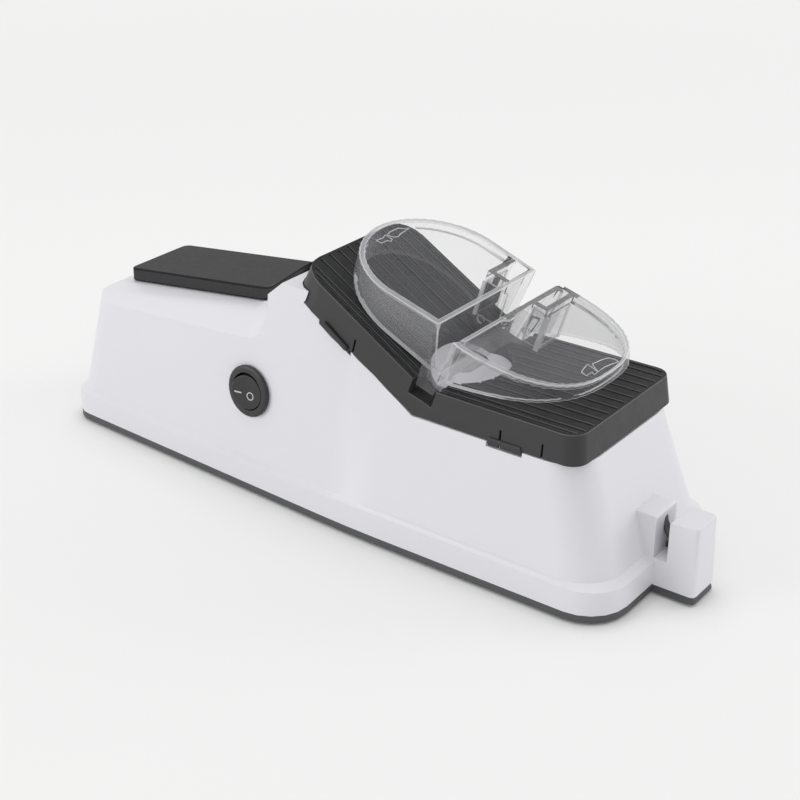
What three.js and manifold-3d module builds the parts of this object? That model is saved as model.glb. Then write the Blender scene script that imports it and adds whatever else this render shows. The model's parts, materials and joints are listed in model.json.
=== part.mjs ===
import * as THREE from "three";
import { mergeVertices } from "three/addons/utils/BufferGeometryUtils.js";
import Module from "manifold-3d";

// An electric knife sharpener, in millimetres, +Z up.
// While it is built, X runs from the rear of the case to the front block, and the switch side is at -Y.

const wasm = await Module();
wasm.setup();

// Case, seen from above
const caseLength = 232;
const frontHalfWidth = 36;
const rearHalfWidth = 28.5;
const bendFromRear = 136;
const bendBlend = 11;
const rearCornerRadius = 9;
const frontCornerRadius = 14;
const cornerSteps = 5;
const roundRectSteps = 3;

// Case, seen from the side
const footReach = 0.8;
const plateTop = 3.5;
const skirtTop = 13;
const skirtRound = 1.5;
const skirtStepSide = 1.6;
const skirtStepRear = 2.5;
const skirtStepFront = 3;
const caseWall = 2.2;
const deckWall = 3;
const rearDraftShare = 0.256;
const frontDraftShare = 0.342;
const sideDraftRearShare = 0.085;
const sideDraftFrontShare = 0.14;
const cornerNarrowingShare = 0.12;
const loftTop = 96;

// Roof over the rear, with the hand pad on it
const padHalfWidth = 14.5;
const padThickness = 5.1;
const padEndThickness = 2.7;
const padCornerRadius = 2.6;
const padFromRear = 21.4;
const seatHeight = 54.6;
const seatSlopeShare = 0.125;
const browRadius = 9;
const sweepLength = 17.8;
const sweepSlopeShare = 0.86;
const sweepRadius = 12;
const shoulderGap = 0.7;
const shoulderInset = 15.4;
const shoulderWidth = 11.5;
const shoulderDrop = 7;
const shoulderSagShare = 0.32;
const shoulderRunOut = 11.5;
const shoulderSteps = 5;

// Cover and the deck that it stands on
const coverFromFront = 15;
const flatLength = 57.1;
const rampLength = 54.9;
const coverTop = 57.4;
const rampSlopeShare = 0.604;
const coverSkirt = 9.6;
const coverEndLength = 7.2;
const coverRearHalfWidth = 27.3;
const coverFrontHalfWidth = 28.5;
const coverWallDraftShare = 0.109;
const coverEndDraftShare = 0.66;
const coverRearRadius = 14;
const coverRearTopRadius = 6.5;
const coverFrontRadius = 5.5;
const coverWall = 2;
const coverRoof = 2.6;
const seatGap = 0.3;
const ribCount = 11;
const rimWidth = 1.2;
const rimGroove = 1.7;
const ribPitch = 4.6;
const ribDepth = 0.8;
const ribGroove = 0.9;
const ribEndMargin = 1.3;
const tabLength = 12;
const tabDrop = 1.4;
const tabThickness = 1;
const tabClearance = 0.4;
const rampTabFromEnd = 15.5;
const slitWidth = 0.6;
const slitHeight = 4.4;
const rampSlitFromEnd = 28.2;
const flatSlitPastValley = 29.6;
const flatSlitSpacing = 14.8;
const flatTabPastValley = 25.5;

// Clear guide, in a frame that leans forward with the grinding wheel
const guideLean = 17.5;
const guideTopPastValley = 7.3;
const guideTopHeight = 78;
const lobeDepth = 32;
const guideWall = 1.8;
const guideRoof = 2;
const guideGap = 0.3;
const lobeSteps = 14;
const tieInner = 19.6;
const tieReach = 27.2;
const tieHeight = 2.8;
const tieLift = 3.1;
const tiePlateHeight = 8.5;
const legRise = 9;
const pocketInner = 12;
const rearPocketReach = 11.3;
const frontPocketReach = 12.8;
const bossRadiusOut = 4;
const bossWall = 1.2;
const bossDepth = 9;
const bossAside = 2.5;

// Its rear lobe, which stands on the ramp
const rearLobeEdge = 2.2;
const rearLobeEdgeDraftShare = 0.022;
const rearLobeTop = 1;
const rearLobeRiseShare = 0.017;
const rearLobeInnerHalfWidth = 26.8;
const rearLobeHalfWidth = 27.6;
const rearLobeShoulder = 22.2;
const rearLobeTip = 47.3;
const rearLobeRoundShare = 1.93;
const rearLobeSideDraftShare = 0.333;
const rearLobeTipDraftShare = -0.092;

// Its front lobe, which ends above the flat part of the cover
const frontLobeEdge = 5.9;
const frontLobeEdgeDraftShare = 0.196;
const frontLobeDip = 0.2;
const frontLobeRiseShare = 0.04;
const frontLobeInnerHalfWidth = 27.6;
const frontLobeHalfWidth = 29.8;
const frontLobeShoulder = 7.6;
const frontLobeTip = 44.4;
const frontLobeRoundShare = 2.6;
const frontLobeSideDraftShare = 0.203;
const frontLobeTipDraftShare = -0.461;
const frontFootLift = 1.9;
const frontFootSlopeShare = 0.069;

// Channel in the cover under the slot, and the white guard in its middle
const channelHalfWidth = 4.5;
const channelDepth = 25.9;
const channelFloor = 2.2;
const channelWall = 2;
const guardPastValley = 2.1;
const guardAside = 4;
const guardHalfLength = 11.7;
const guardHalfWidth = 15.2;
const guardRoundShare = 2.1;
const guardClearance = 0.4;
const guardSink = 2.6;
const guardWall = 1.8;
const guardSteps = 36;

// Grinding wheel and its drive
const wheelRadius = 17.5;
const wheelThickness = 7;
const wheelBevel = 1.6;
const wheelCrownDepth = 23.6;
const wheelSetback = 2;
const wheelClearance = 0.8;
const shaftRadius = 2.5;
const fitGap = 0.3;
const flangeRadius = 7;
const flangeThickness = 2.4;
const flangeHub = 5;
const washerRadius = 6;
const washerThickness = 1;
const nutRadius = 4.6;
const nutThickness = 3.2;
const nutSides = 6;
const shaftBeyondNut = 1.6;
const roundSteps = 32;
const smallSteps = 16;

// Motor, its caps, cradle and strap
const motorRadius = 12;
const motorFromWheel = 27.5;
const motorLength = 32;
const motorFlat = 10;
const runGap = 0.1;
const capThickness = 2;
const bossRadius = 5;
const bossLength = 3;
const rearCapInset = 2.4;
const terminalWidth = 2.8;
const terminalLength = 5;
const terminalThickness = 0.6;
const terminalSpread = 6.5;
const cradleLength = 18;
const cradleFromFace = 3;
const cradleHalfWidth = 19;
const cradleWall = 3;
const cradleReachShare = 5;
const strapWidth = 9;
const strapThickness = 1.2;
const strapEar = 5.6;
const screwRadius = 1.5;
const screwHeadRadius = 2.9;
const screwHeadHeight = 1.8;
const strapScrewLength = 8;

// Rocker switch in the near wall
const switchFromRear = 91;
const switchHeight = 37.2;
const bezelRadius = 9;
const bezelProud = 1.9;
const bezelEdge = 1.1;
const barrelRadius = 7.4;
const barrelDepth = 12;
const barrelClearance = 0.3;
const wellRadius = 6.5;
const wellDepth = 5;
const rockerRadius = 6;
const rockerTilt = 9;
const rockerCrest = 2.7;
const rockerPivotDepth = 0.5;
const rockerBody = 2.3;
const rockerDishShare = 0.03;
const bladeSpread = 4.4;
const bladeWidth = 3.2;
const bladeLength = 6;
const bladeThickness = 0.8;

// Block at the front with the slot for sharpening by hand
const blockReach = 14.2;
const blockHalfWidth = 6.4;
const blockDraft = 0.5;
const blockTop = 26.8;
const blockCornerRadius = 1.5;
const blockRoot = 6;
const handSlotWidth = 4.6;
const slotMouthEdge = 1.1;
const blockEdge = 1;
const handSlotFromBlockEnd = 10;
const handSlotFloor = 12.7;
const rodRadius = 1.2;
const rodBelow = 6;
const rodAbove = 7.6;
const rodLean = 27;
const rodCrossHeight = 16.8;
const rodSpacing = 1.3;
const rodAside = 1.5;
const rodClearance = 0.3;

// Power inlet in the rear wall
const inletHeight = 27;
const inletFlangeHalfWidth = 13;
const inletFlangeHalfHeight = 7;
const inletFlangeThickness = 1.6;
const inletFlangeRadius = 2.4;
const inletBodyHalfWidth = 10;
const inletBodyHalfHeight = 5;
const inletBodyDepth = 15;
const inletMouthHalfWidth = 8;
const inletMouthRadius = 3.6;
const inletMouthDepth = 11;
const inletBodyRadius = 3;
const pinRadius = 1.2;
const pinSpread = 4.3;
const pinLength = 8;
const pinTail = 4;

// Base plate, feet and base screws
const lipHeight = 4;
const lipThickness = 1.6;
const lipGap = 0.4;
const footRadius = 6;
const footRecess = 1.4;
const footFromRear = 20;
const footFromFront = 26;
const footInset = 12.5;
const postRadius = 4;
const postFromRear = 34;
const postFromFront = 43;
const postInset = 12;
const postGap = 0.3;
const baseScrewLength = 14;
const baseScrewHead = 1.2;
const ventCount = 6;
const ventPitch = 6;
const ventLength = 22;
const ventWidth = 2.4;
const ventFromRear = 122;

// Circuit board and what stands on it
const boardFromRear = 42;
const boardLength = 36;
const boardHalfWidth = 15;
const boardThickness = 1.6;
const boardStand = 6;
const boardPostRadius = 3;
const boardPostInset = 4;
const capacitorRadius = 5;
const capacitorHeight = 16;
const capacitorEdge = 1.2;
const capacitorPlaceShare = 0.33;
const capacitorAside = 5;
const rectifierLength = 12;
const rectifierWidth = 4;
const rectifierHeight = 9;
const rectifierPlaceShare = 0.63;
const leadRadius = 0.9;
const leadSides = 6;
const leadSteps = 12;
const leadGap = 0.4;
const leadRiseShare = 6;

const overrun = 3;

// What follows from the sizes above
const overallLength = caseLength + blockReach;
const coverRight = caseLength - coverFromFront;
const coverValley = coverRight - flatLength;
const coverFromRear = coverValley - rampLength;
const shoulderFromRear = coverFromRear - shoulderGap;
const sweepFromRear = shoulderFromRear - sweepLength;
const guideTopFromRear = coverValley + guideTopPastValley;
const guardFromRear = coverValley + guardPastValley;
const rampTabFromRear = coverFromRear + rampTabFromEnd;
const flatTabFromRear = coverValley + flatTabPastValley;
const slitSpots = [
  [coverFromRear + rampSlitFromEnd, guideLean],
  [coverValley + flatSlitPastValley, 0],
  [coverValley + flatSlitPastValley + flatSlitSpacing, 0],
];
const halfTurn = Math.PI;
const degree = Math.PI / 180;
const sideTaper = (frontHalfWidth - rearHalfWidth) / bendFromRear;
const guideSin = Math.sin(guideLean * degree);
const guideCos = Math.cos(guideLean * degree);
const wheelDepth = wheelCrownDepth + wheelRadius;
const rampAt = (x) => coverTop + rampSlopeShare * Math.max(0, coverValley - x);
const rampStretch = Math.hypot(1, rampSlopeShare);
const lowerFlat = coverTop - coverSkirt;
const heelFromRear = coverFromRear + coverEndLength;
const coverEndHeight = rampAt(heelFromRear) - coverSkirt * rampStretch;
const rampFoot = coverValley - coverSkirt * (rampStretch - 1) / rampSlopeShare;

const colours = {
  white: { color: 0xdedee3, roughness: 0.42, metalness: 0 },
  dark: { color: 0x48484a, roughness: 0.55, metalness: 0 },
  soft: { color: 0x444446, roughness: 0.8, metalness: 0 },
  base: { color: 0x5f6062, roughness: 0.6, metalness: 0 },
  black: { color: 0x262628, roughness: 0.4, metalness: 0 },
  clear: { color: 0xdfe4ea, roughness: 0.06, metalness: 0, transparent: true, opacity: 0.35 },
  steel: { color: 0xb4b6ba, roughness: 0.35, metalness: 1 },
  brass: { color: 0xc9a65a, roughness: 0.35, metalness: 1 },
  grit: { color: 0x8f8c88, roughness: 0.95, metalness: 0 },
  ceramic: { color: 0x5a5a5c, roughness: 0.6, metalness: 0 },
  board: { color: 0x2f6b3f, roughness: 0.5, metalness: 0 },
  rubber: { color: 0x222222, roughness: 0.9, metalness: 0 },
  copper: { color: 0x8e2f22, roughness: 0.6, metalness: 0 },
};

// Solids

function solid(geometry) {
  const bare = geometry.clone();
  bare.deleteAttribute("normal");
  bare.deleteAttribute("uv");
  const merged = mergeVertices(bare);
  return new wasm.Manifold(new wasm.Mesh({
    numProp: 3,
    vertProperties: new Float32Array(merged.attributes.position.array),
    triVerts: new Uint32Array(merged.index.array),
  }));
}

function geometryOf(body) {
  const mesh = body.getMesh();
  const geometry = new THREE.BufferGeometry();
  geometry.setAttribute("position", new THREE.BufferAttribute(new Float32Array(mesh.vertProperties), 3));
  geometry.setIndex(new THREE.BufferAttribute(new Uint32Array(mesh.triVerts), 1));
  return geometry;
}

function without(body, ...cutters) {
  return cutters.reduce((rest, cutter) => rest.subtract(cutter), body);
}

function placed(geometry, matrix) {
  return geometry.clone().applyMatrix4(matrix);
}

// Closed skin over rings of points that all have one count, listed from the bottom up
function loft(rings) {
  const count = rings[0].length;
  const positions = rings.flat().flatMap((point) => [point.x, point.y, point.z]);
  const faces = [];
  for (let level = 0; level + 1 < rings.length; level += 1) {
    for (let i = 0; i < count; i += 1) {
      const next = (i + 1) % count;
      const low = level * count;
      const high = low + count;
      faces.push(low + i, low + next, high + next, low + i, high + next, high + i);
    }
  }
  const last = (rings.length - 1) * count;
  for (let i = 1; i + 1 < count; i += 1) {
    faces.push(0, i + 1, i);
    faces.push(last, last + i, last + i + 1);
  }
  const geometry = new THREE.BufferGeometry();
  geometry.setAttribute("position", new THREE.Float32BufferAttribute(positions, 3));
  geometry.setIndex(faces);
  return geometry;
}

function extrude(points, depth) {
  const shape = new THREE.Shape(points.map(([a, b]) => new THREE.Vector2(a, b)));
  return new THREE.ExtrudeGeometry(shape, { depth, bevelEnabled: false });
}

// Outline in X and Z, run along Y from one side to the other
function sideSlab(points, fromY, toY) {
  const geometry = extrude(points, toY - fromY);
  geometry.rotateX(halfTurn / 2);
  return geometry.translate(0, toY, 0);
}

// Outline in X and Y, run up from one height to another
function flatSlab(points, fromZ, toZ) {
  return extrude(points, toZ - fromZ).translate(0, 0, fromZ);
}

function block(fromX, toX, fromY, toY, fromZ, toZ) {
  const box = new THREE.BoxGeometry(toX - fromX, toY - fromY, toZ - fromZ);
  return box.translate((fromX + toX) / 2, (fromY + toY) / 2, (fromZ + toZ) / 2);
}

// Upright cylinder between two heights
function drum(radius, fromZ, toZ, steps = roundSteps) {
  const cylinder = new THREE.CylinderGeometry(radius, radius, toZ - fromZ, steps);
  cylinder.rotateX(halfTurn / 2);
  return cylinder.translate(0, 0, (fromZ + toZ) / 2);
}

// Profile of radius and height pairs turned about Z
function turned(profile, steps = roundSteps) {
  const lathe = new THREE.LatheGeometry(profile.map(([r, z]) => new THREE.Vector2(r, z)), steps);
  return lathe.rotateX(halfTurn / 2);
}

// Path with its corners rounded: each entry is x, z and the radius of the corner there
function roundedPath(corners, steps) {
  const path = [];
  corners.forEach(([x, z, radius], i) => {
    if (!radius) {
      path.push([x, z]);
      return;
    }
    const here = new THREE.Vector2(x, z);
    const back = new THREE.Vector2(...corners[i - 1]).sub(here).normalize();
    const ahead = new THREE.Vector2(...corners[i + 1]).sub(here).normalize();
    const half = Math.acos(THREE.MathUtils.clamp(back.dot(ahead), -1, 1)) / 2;
    const reach = radius / Math.tan(half);
    const centre = back.clone().add(ahead).normalize().multiplyScalar(radius / Math.sin(half)).add(here);
    const start = back.multiplyScalar(reach).add(here).sub(centre);
    const turn = new THREE.Vector2().copy(ahead).multiplyScalar(reach).add(here).sub(centre);
    const sweep = Math.atan2(start.cross(turn), start.dot(turn));
    for (let k = 0; k <= steps; k += 1) {
      const spot = start.clone().rotateAround(new THREE.Vector2(), sweep * k / steps).add(centre);
      path.push([spot.x, spot.y]);
    }
  });
  return path;
}

// Outline that is the same on both sides of the X axis, from its half width at each station
function mirroredRing(half, z) {
  const near = half.map(([x, width]) => new THREE.Vector3(x, -width, z));
  const far = half.map(([x, width]) => new THREE.Vector3(x, width, z)).reverse();
  return near.concat(far);
}

function roundedHalf(rear, front, rearRadius, frontRadius, stations, widthAt) {
  const half = [];
  const rearSide = rear + rearRadius;
  const frontSide = front - frontRadius;
  for (let k = 0; k <= cornerSteps; k += 1) {
    const angle = halfTurn / 2 * k / cornerSteps;
    const x = rearSide - rearRadius * Math.cos(angle);
    half.push([x, widthAt(rearSide) - rearRadius * (1 - Math.sin(angle))]);
  }
  stations.forEach((x) => half.push([x, widthAt(x)]));
  for (let k = 0; k <= cornerSteps; k += 1) {
    const angle = halfTurn / 2 * k / cornerSteps;
    const x = frontSide + frontRadius * Math.sin(angle);
    half.push([x, widthAt(frontSide) - frontRadius * (1 - Math.cos(angle))]);
  }
  return half;
}

// Half of a long round form, from its inner edge to its tip
function roundedTip(inner, shoulder, tip, innerWidth, width, round, steps) {
  const half = [[inner, innerWidth]];
  for (let k = 0; k <= steps; k += 1) {
    const angle = halfTurn / 2 * k / steps;
    const x = shoulder + (tip - shoulder) * Math.sin(angle) ** (2 / round);
    half.push([x, width * Math.cos(angle) ** (2 / round)]);
  }
  return half;
}

// Frames

const toGuide = new THREE.Matrix4()
  .makeTranslation(guideTopFromRear, 0, guideTopHeight)
  .multiply(new THREE.Matrix4().makeRotationY(guideLean * degree));
const guideToCase = (u, w) => [
  guideTopFromRear + u * guideCos + w * guideSin,
  guideTopHeight - u * guideSin + w * guideCos,
];
const [wheelX, wheelZ] = guideToCase(-wheelSetback, -wheelDepth);

// Case

function caseWidthAt(x) {
  const before = bendFromRear - x;
  return frontHalfWidth - sideTaper * (before + Math.hypot(before, bendBlend)) / 2;
}

function sideDraftAt(x) {
  const along = THREE.MathUtils.smoothstep(x, bendFromRear - 2 * bendBlend, bendFromRear + 2 * bendBlend);
  return sideDraftRearShare + (sideDraftFrontShare - sideDraftRearShare) * along;
}

function caseRing(z, inset, stepped) {
  const rise = Math.max(0, z - skirtTop);
  const rear = inset + (stepped ? skirtStepRear : 0) + rearDraftShare * rise;
  const front = caseLength - inset - (stepped ? skirtStepFront : 0) - frontDraftShare * rise;
  const sideStep = inset + (stepped ? skirtStepSide : 0);
  const shrink = 1 + cornerNarrowingShare * rise / (frontCornerRadius + rearCornerRadius);
  const stations = [-2, -1, 0, 1, 2].map((step) => bendFromRear + step * bendBlend);
  const widthAt = (x) => caseWidthAt(x) - sideStep - sideDraftAt(x) * rise;
  const rearRadius = (rearCornerRadius - inset) / shrink;
  const frontRadius = (frontCornerRadius - inset) / shrink;
  return mirroredRing(roundedHalf(rear, front, rearRadius, frontRadius, stations, widthAt), z);
}

function caseLoft(inset, bottom) {
  return solid(loft([
    caseRing(bottom, inset, false),
    caseRing(skirtTop - skirtRound, inset, false),
    caseRing(skirtTop, inset, true),
    caseRing(loftTop, inset, true),
  ]));
}

function seatAt(x) {
  return seatHeight + seatSlopeShare * (x - padFromRear);
}

function shoulderTop() {
  return seatAt(sweepFromRear) + sweepSlopeShare * (shoulderFromRear - sweepFromRear);
}

// Roof line from the rear wall over the seat and the sweep to the shoulder
function roofLine(drop) {
  const browX = skirtStepRear + rearDraftShare * (seatAt(0) - skirtTop);
  const wallX = skirtStepRear + rearDraftShare * (seatAt(0) / 2 - skirtTop);
  return roundedPath([
    [wallX, seatAt(0) / 2 - drop, 0],
    [browX, seatAt(browX) - drop, browRadius],
    [sweepFromRear, seatAt(sweepFromRear) - drop, sweepRadius],
    [shoulderFromRear, shoulderTop() - drop, 0],
  ], cornerSteps).slice(1);
}

// Lower edge of the cover, raised by a lift. Lowered by the gap it is the deck of the case
function lowerLine(lift) {
  return [
    [coverFromRear, coverEndHeight + lift],
    [heelFromRear, coverEndHeight + lift],
    [rampFoot, lowerFlat + lift],
    [caseLength, lowerFlat + lift],
  ];
}

function casePrism(drop, bottom) {
  const floor = bottom - overrun;
  const roof = roofLine(drop);
  const deck = lowerLine(-seatGap - drop);
  const points = [
    [-overrun, floor],
    [caseLength + overrun, floor],
    [caseLength + overrun, lowerFlat - seatGap - drop],
    ...deck.reverse(),
    [shoulderFromRear, coverEndHeight - seatGap - drop],
    ...roof.reverse(),
    [-overrun, roof[roof.length - 1][1]],
  ];
  return solid(sideSlab(points, -frontHalfWidth * 2, frontHalfWidth * 2));
}

// What is taken off above the slopes beside the pad, on one side
function shoulderCut(side, drop) {
  const sag = shoulderDrop * shoulderSagShare;
  const ring = (x, out, height) => {
    const seat = height - drop;
    const inner = out + shoulderInset - drop / 2;
    const line = [
      [inner, overrun + seat + shoulderDrop],
      [inner, seat],
      [inner + shoulderWidth / 2, seat - sag],
      [inner + shoulderWidth, seat - shoulderDrop],
      [inner + shoulderWidth * 2, seat - shoulderDrop * 2 - sag],
      [inner + shoulderWidth * 2, overrun + seat + shoulderDrop],
    ];
    const points = line.map(([y, z]) => new THREE.Vector3(x, side * y, z));
    return side > 0 ? points : points.reverse();
  };
  const rings = [ring(-overrun, 0, seatAt(-overrun))];
  for (let k = 0; k <= shoulderSteps; k += 1) {
    const angle = halfTurn / 2 * k / shoulderSteps;
    const x = sweepFromRear + shoulderRunOut * Math.sin(angle);
    rings.push(ring(x, shoulderWidth * (1 - Math.cos(angle)), seatAt(x)));
  }
  return solid(loft(rings));
}

function blockSolid(grow, bottom, top, edge = 0) {
  const end = overallLength + grow;
  const root = caseLength - blockReach - blockRoot;
  const ring = (z, draft) => {
    const tip = end - draft;
    const half = blockHalfWidth + blockDraft - draft + grow;
    const round = [[root, half]];
    for (let k = 0; k <= 2; k += 1) {
      const angle = halfTurn / 4 * k;
      round.push([
        tip - blockCornerRadius * (1 - Math.sin(angle)),
        half - blockCornerRadius * (1 - Math.cos(angle)),
      ]);
    }
    return mirroredRing(round, z);
  };
  const rounded = [0, 1, 2].map((k) => halfTurn / 4 * k)
    .map((angle) => ring(top - edge * (1 - Math.sin(angle)), blockDraft + edge * (1 - Math.cos(angle))));
  return solid(loft([ring(bottom, 0), ...(edge ? rounded : [ring(top, blockDraft)])]));
}

// Slot across the block, with rounded edges at its mouth
function handSlot() {
  const mouth = [];
  [-1, 1].forEach((side) => {
    const edge = handSlotX + side * handSlotWidth / 2;
    const quarter = [0, 1, 2, 3].map((k) => halfTurn / 6 * k).map((angle) => [
      edge + side * slotMouthEdge * (1 - Math.cos(angle)), blockTop - slotMouthEdge * (1 - Math.sin(angle)),
    ]);
    const wall = [[edge, handSlotFloor], ...quarter,
      [edge + side * slotMouthEdge, blockTop + overrun]];
    mouth.push(...(side < 0 ? wall.reverse() : wall));
  });
  return solid(sideSlab(mouth, -blockHalfWidth - overrun, blockHalfWidth + overrun));
}

const handSlotX = overallLength - handSlotFromBlockEnd - handSlotWidth / 2;

function rodMatrix(index) {
  const side = index === 0 ? -1 : 1;
  return new THREE.Matrix4()
    .makeTranslation(handSlotX, rodAside + side * rodSpacing, rodCrossHeight)
    .multiply(new THREE.Matrix4().makeRotationY(side * rodLean * degree));
}

function rodSolid(index, grow) {
  const rod = drum(rodRadius + grow, -rodBelow - grow, rodAbove + grow, smallSteps);
  return solid(placed(rod, rodMatrix(index)));
}

function switchMatrix() {
  const rise = switchHeight - skirtTop;
  const y = caseWidthAt(switchFromRear) - skirtStepSide - sideDraftAt(switchFromRear) * rise;
  const out = new THREE.Vector3(-sideTaper, -1, sideDraftAt(switchFromRear)).normalize();
  const along = new THREE.Vector3(1, -sideTaper, 0).normalize();
  const up = new THREE.Vector3().crossVectors(out, along).normalize();
  return new THREE.Matrix4().makeBasis(along, up, out).setPosition(switchFromRear, -y, switchHeight);
}

function inletMatrix() {
  const x = skirtStepRear + rearDraftShare * (inletHeight - skirtTop);
  const out = new THREE.Vector3(-1, 0, rearDraftShare).normalize();
  const along = new THREE.Vector3(0, -1, 0);
  const up = new THREE.Vector3().crossVectors(out, along);
  return new THREE.Matrix4().makeBasis(along, up, out).setPosition(x, 0, inletHeight);
}

function roundedRect(halfWidth, halfHeight, radius) {
  const points = [];
  [[1, 1, 0], [-1, 1, 1], [-1, -1, 2], [1, -1, 3]].forEach(([sx, sy, quarter]) => {
    for (let k = 0; k <= roundRectSteps; k += 1) {
      const angle = halfTurn / 2 * (quarter + k / roundRectSteps);
      points.push([
        sx * (halfWidth - radius) + radius * Math.cos(angle),
        sy * (halfHeight - radius) + radius * Math.sin(angle),
      ]);
    }
  });
  return points;
}

const postSpots = [
  [postFromRear, -1], [postFromRear, 1], [caseLength - postFromFront, -1], [caseLength - postFromFront, 1],
];
const postY = (x) => caseWidthAt(x) - postInset;
const footSpots = [
  [footFromRear, -1], [footFromRear, 1], [caseLength - footFromFront, -1], [caseLength - footFromFront, 1],
];

function guardOutline(grow) {
  const points = [];
  for (let k = 0; k < guardSteps; k += 1) {
    const angle = 2 * halfTurn * k / guardSteps;
    const c = Math.cos(angle);
    const s = Math.sin(angle);
    points.push([
      guardFromRear + (guardHalfLength + grow) * Math.sign(c) * Math.abs(c) ** (2 / guardRoundShare),
      (guardHalfWidth + grow) * Math.sign(s) * Math.abs(s) ** (2 / guardRoundShare) - guardAside,
    ]);
  }
  return points;
}

// Snap tabs under the cover's edge, in places that both the cover and the case know
const tabSpots = [rampTabFromRear, flatTabFromRear].flatMap((x) => [[x, -1], [x, 1]]);

function lowerEdgeAt(x) {
  return rampAt(x) - coverSkirt * (x < coverValley ? rampStretch : 1);
}

function tabSolid(x, side, grow) {
  const left = x - grow;
  const right = x + tabLength + grow;
  const drop = tabDrop + grow;
  const rise = tabDrop * 2;
  const slab = solid(sideSlab([
    [left, lowerEdgeAt(left) - drop], [right, lowerEdgeAt(right) - drop],
    [right, lowerEdgeAt(right) + rise], [left, lowerEdgeAt(left) + rise],
  ], side > 0 ? 0 : -frontHalfWidth, side > 0 ? frontHalfWidth : 0));
  const outer = coverLoft(-grow);
  const inner = coverLoft(tabThickness + grow);
  return slab.intersect(outer).subtract(inner);
}

// Part of the case that closes round the rear corners of the cover
function shoulderFill() {
  const filled = solid(block(shoulderFromRear, coverFromRear + coverRearRadius,
    -frontHalfWidth, frontHalfWidth, lowerFlat, shoulderTop()));
  return caseLoft(0, plateTop).intersect(filled).subtract(coverLoft(-seatGap));
}

function bodyShell() {
  let body = caseLoft(0, plateTop).intersect(casePrism(0, plateTop)).add(shoulderFill());
  body = without(body, shoulderCut(-1, 0), shoulderCut(1, 0));
  body = body.add(blockSolid(0, plateTop, blockTop, blockEdge));
  let hollow = caseLoft(caseWall, plateTop - overrun).intersect(casePrism(deckWall, plateTop - overrun));
  hollow = without(hollow, shoulderCut(-1, deckWall), shoulderCut(1, deckWall));
  body = body.subtract(hollow);
  postSpots.forEach(([x, side]) => {
    const post = drum(postRadius, plateTop + postGap, seatAt(x) - deckWall, smallSteps);
    const roofed = solid(post.translate(x, side * postY(x), 0)).intersect(hollowCeiling());
    const bore = solid(drum(screwRadius + fitGap, plateTop, plateTop + baseScrewLength, smallSteps)
      .translate(x, side * postY(x), 0));
    body = body.add(roofed).subtract(bore);
  });
  const rods = [0, 1].map((i) => rodSolid(i, rodClearance));
  const barrel = placed(drum(barrelRadius + barrelClearance, -barrelDepth, overrun), switchMatrix());
  const inletHole = placed(flatSlab(roundedRect(inletBodyHalfWidth + fitGap, inletBodyHalfHeight + fitGap,
    inletBodyRadius), -inletBodyDepth, overrun), inletMatrix());
  const wheelHole = flatSlab(guardOutline(-guardWall), skirtTop, coverTop);
  const tabs = tabSpots.map(([x, side]) => tabSolid(x, side, tabClearance));
  return without(body, handSlot(), ...rods, solid(barrel), solid(inletHole), solid(wheelHole), ...tabs,
    wheelRoom());
}

// Everything below the roof and the deck, so that a post stops inside them
function hollowCeiling() {
  const drop = deckWall / 2;
  return without(casePrism(drop, 0).intersect(caseLoft(caseWall / 2, 0)),
    shoulderCut(-1, drop), shoulderCut(1, drop));
}

function basePlate() {
  const ring = (z, inset) => caseRing(z, inset, false);
  let plate = solid(loft([ring(footReach, 0), ring(plateTop, 0)]));
  plate = plate.add(blockSolid(0, footReach, plateTop));
  const lipOuter = caseWall + lipGap;
  const lip = solid(loft([ring(plateTop - overrun / 2, lipOuter), ring(plateTop + lipHeight, lipOuter)]));
  const lipInner = lipOuter + lipThickness;
  plate = plate.add(lip).subtract(solid(loft([ring(plateTop, lipInner), ring(skirtTop, lipInner)])));
  const boardSpots = boardCorners();
  boardSpots.forEach(([x, y]) => {
    plate = plate.add(solid(drum(boardPostRadius, plateTop - overrun / 2, plateTop + boardStand, smallSteps)
      .translate(x, y, 0)));
  });
  footSpots.forEach(([x, side]) => {
    const y = side * (caseWidthAt(x) - footInset);
    plate = plate.subtract(solid(drum(footRadius + fitGap, -overrun, footReach + footRecess, smallSteps)
      .translate(x, y, 0)));
  });
  postSpots.forEach(([x, side]) => {
    const y = side * postY(x);
    const hole = drum(screwRadius + fitGap, -overrun, plateTop + overrun, smallSteps);
    const sink = drum(screwHeadRadius + fitGap, -overrun, footReach + baseScrewHead + fitGap, smallSteps);
    plate = without(plate, solid(hole.translate(x, y, 0)), solid(sink.translate(x, y, 0)));
  });
  for (let i = 0; i < ventCount; i += 1) {
    const x = ventFromRear + ventPitch * i;
    plate = plate.subtract(solid(block(x, x + ventWidth, -ventLength / 2, ventLength / 2,
      -overrun, plateTop + overrun)));
  }
  return plate;
}

// Pad, cover and guard

function handPad() {
  const end = shoulderFromRear - seatGap;
  const under = roofLine(0).filter(([x]) => x > padFromRear && x < end);
  const bottom = [[padFromRear, seatAt(padFromRear)], ...under, [end, roofAt(end)]];
  const lift = bottom.map(([x, z]) => [x, z + seatGap]);
  const top = bottom.map(([x, z]) => [x, z + padThicknessAt(x)]).reverse();
  const slab = solid(sideSlab([...lift, ...top], -frontHalfWidth, frontHalfWidth));
  const plan = roundedRect((end - padFromRear) / 2, padHalfWidth, padCornerRadius)
    .map(([x, y]) => [x + (end + padFromRear) / 2, y]);
  return slab.intersect(solid(flatSlab(plan, 0, loftTop)));
}

function roofAt(x) {
  const line = roofLine(0);
  const next = line.findIndex(([px]) => px >= x);
  const [ax, az] = line[next - 1];
  const [bx, bz] = line[next];
  return az + (bz - az) * (x - ax) / (bx - ax);
}

function padThicknessAt(x) {
  const along = THREE.MathUtils.smoothstep(x, sweepFromRear - sweepRadius / 2, shoulderFromRear);
  return padThickness - (padThickness - padEndThickness) * along;
}

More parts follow.
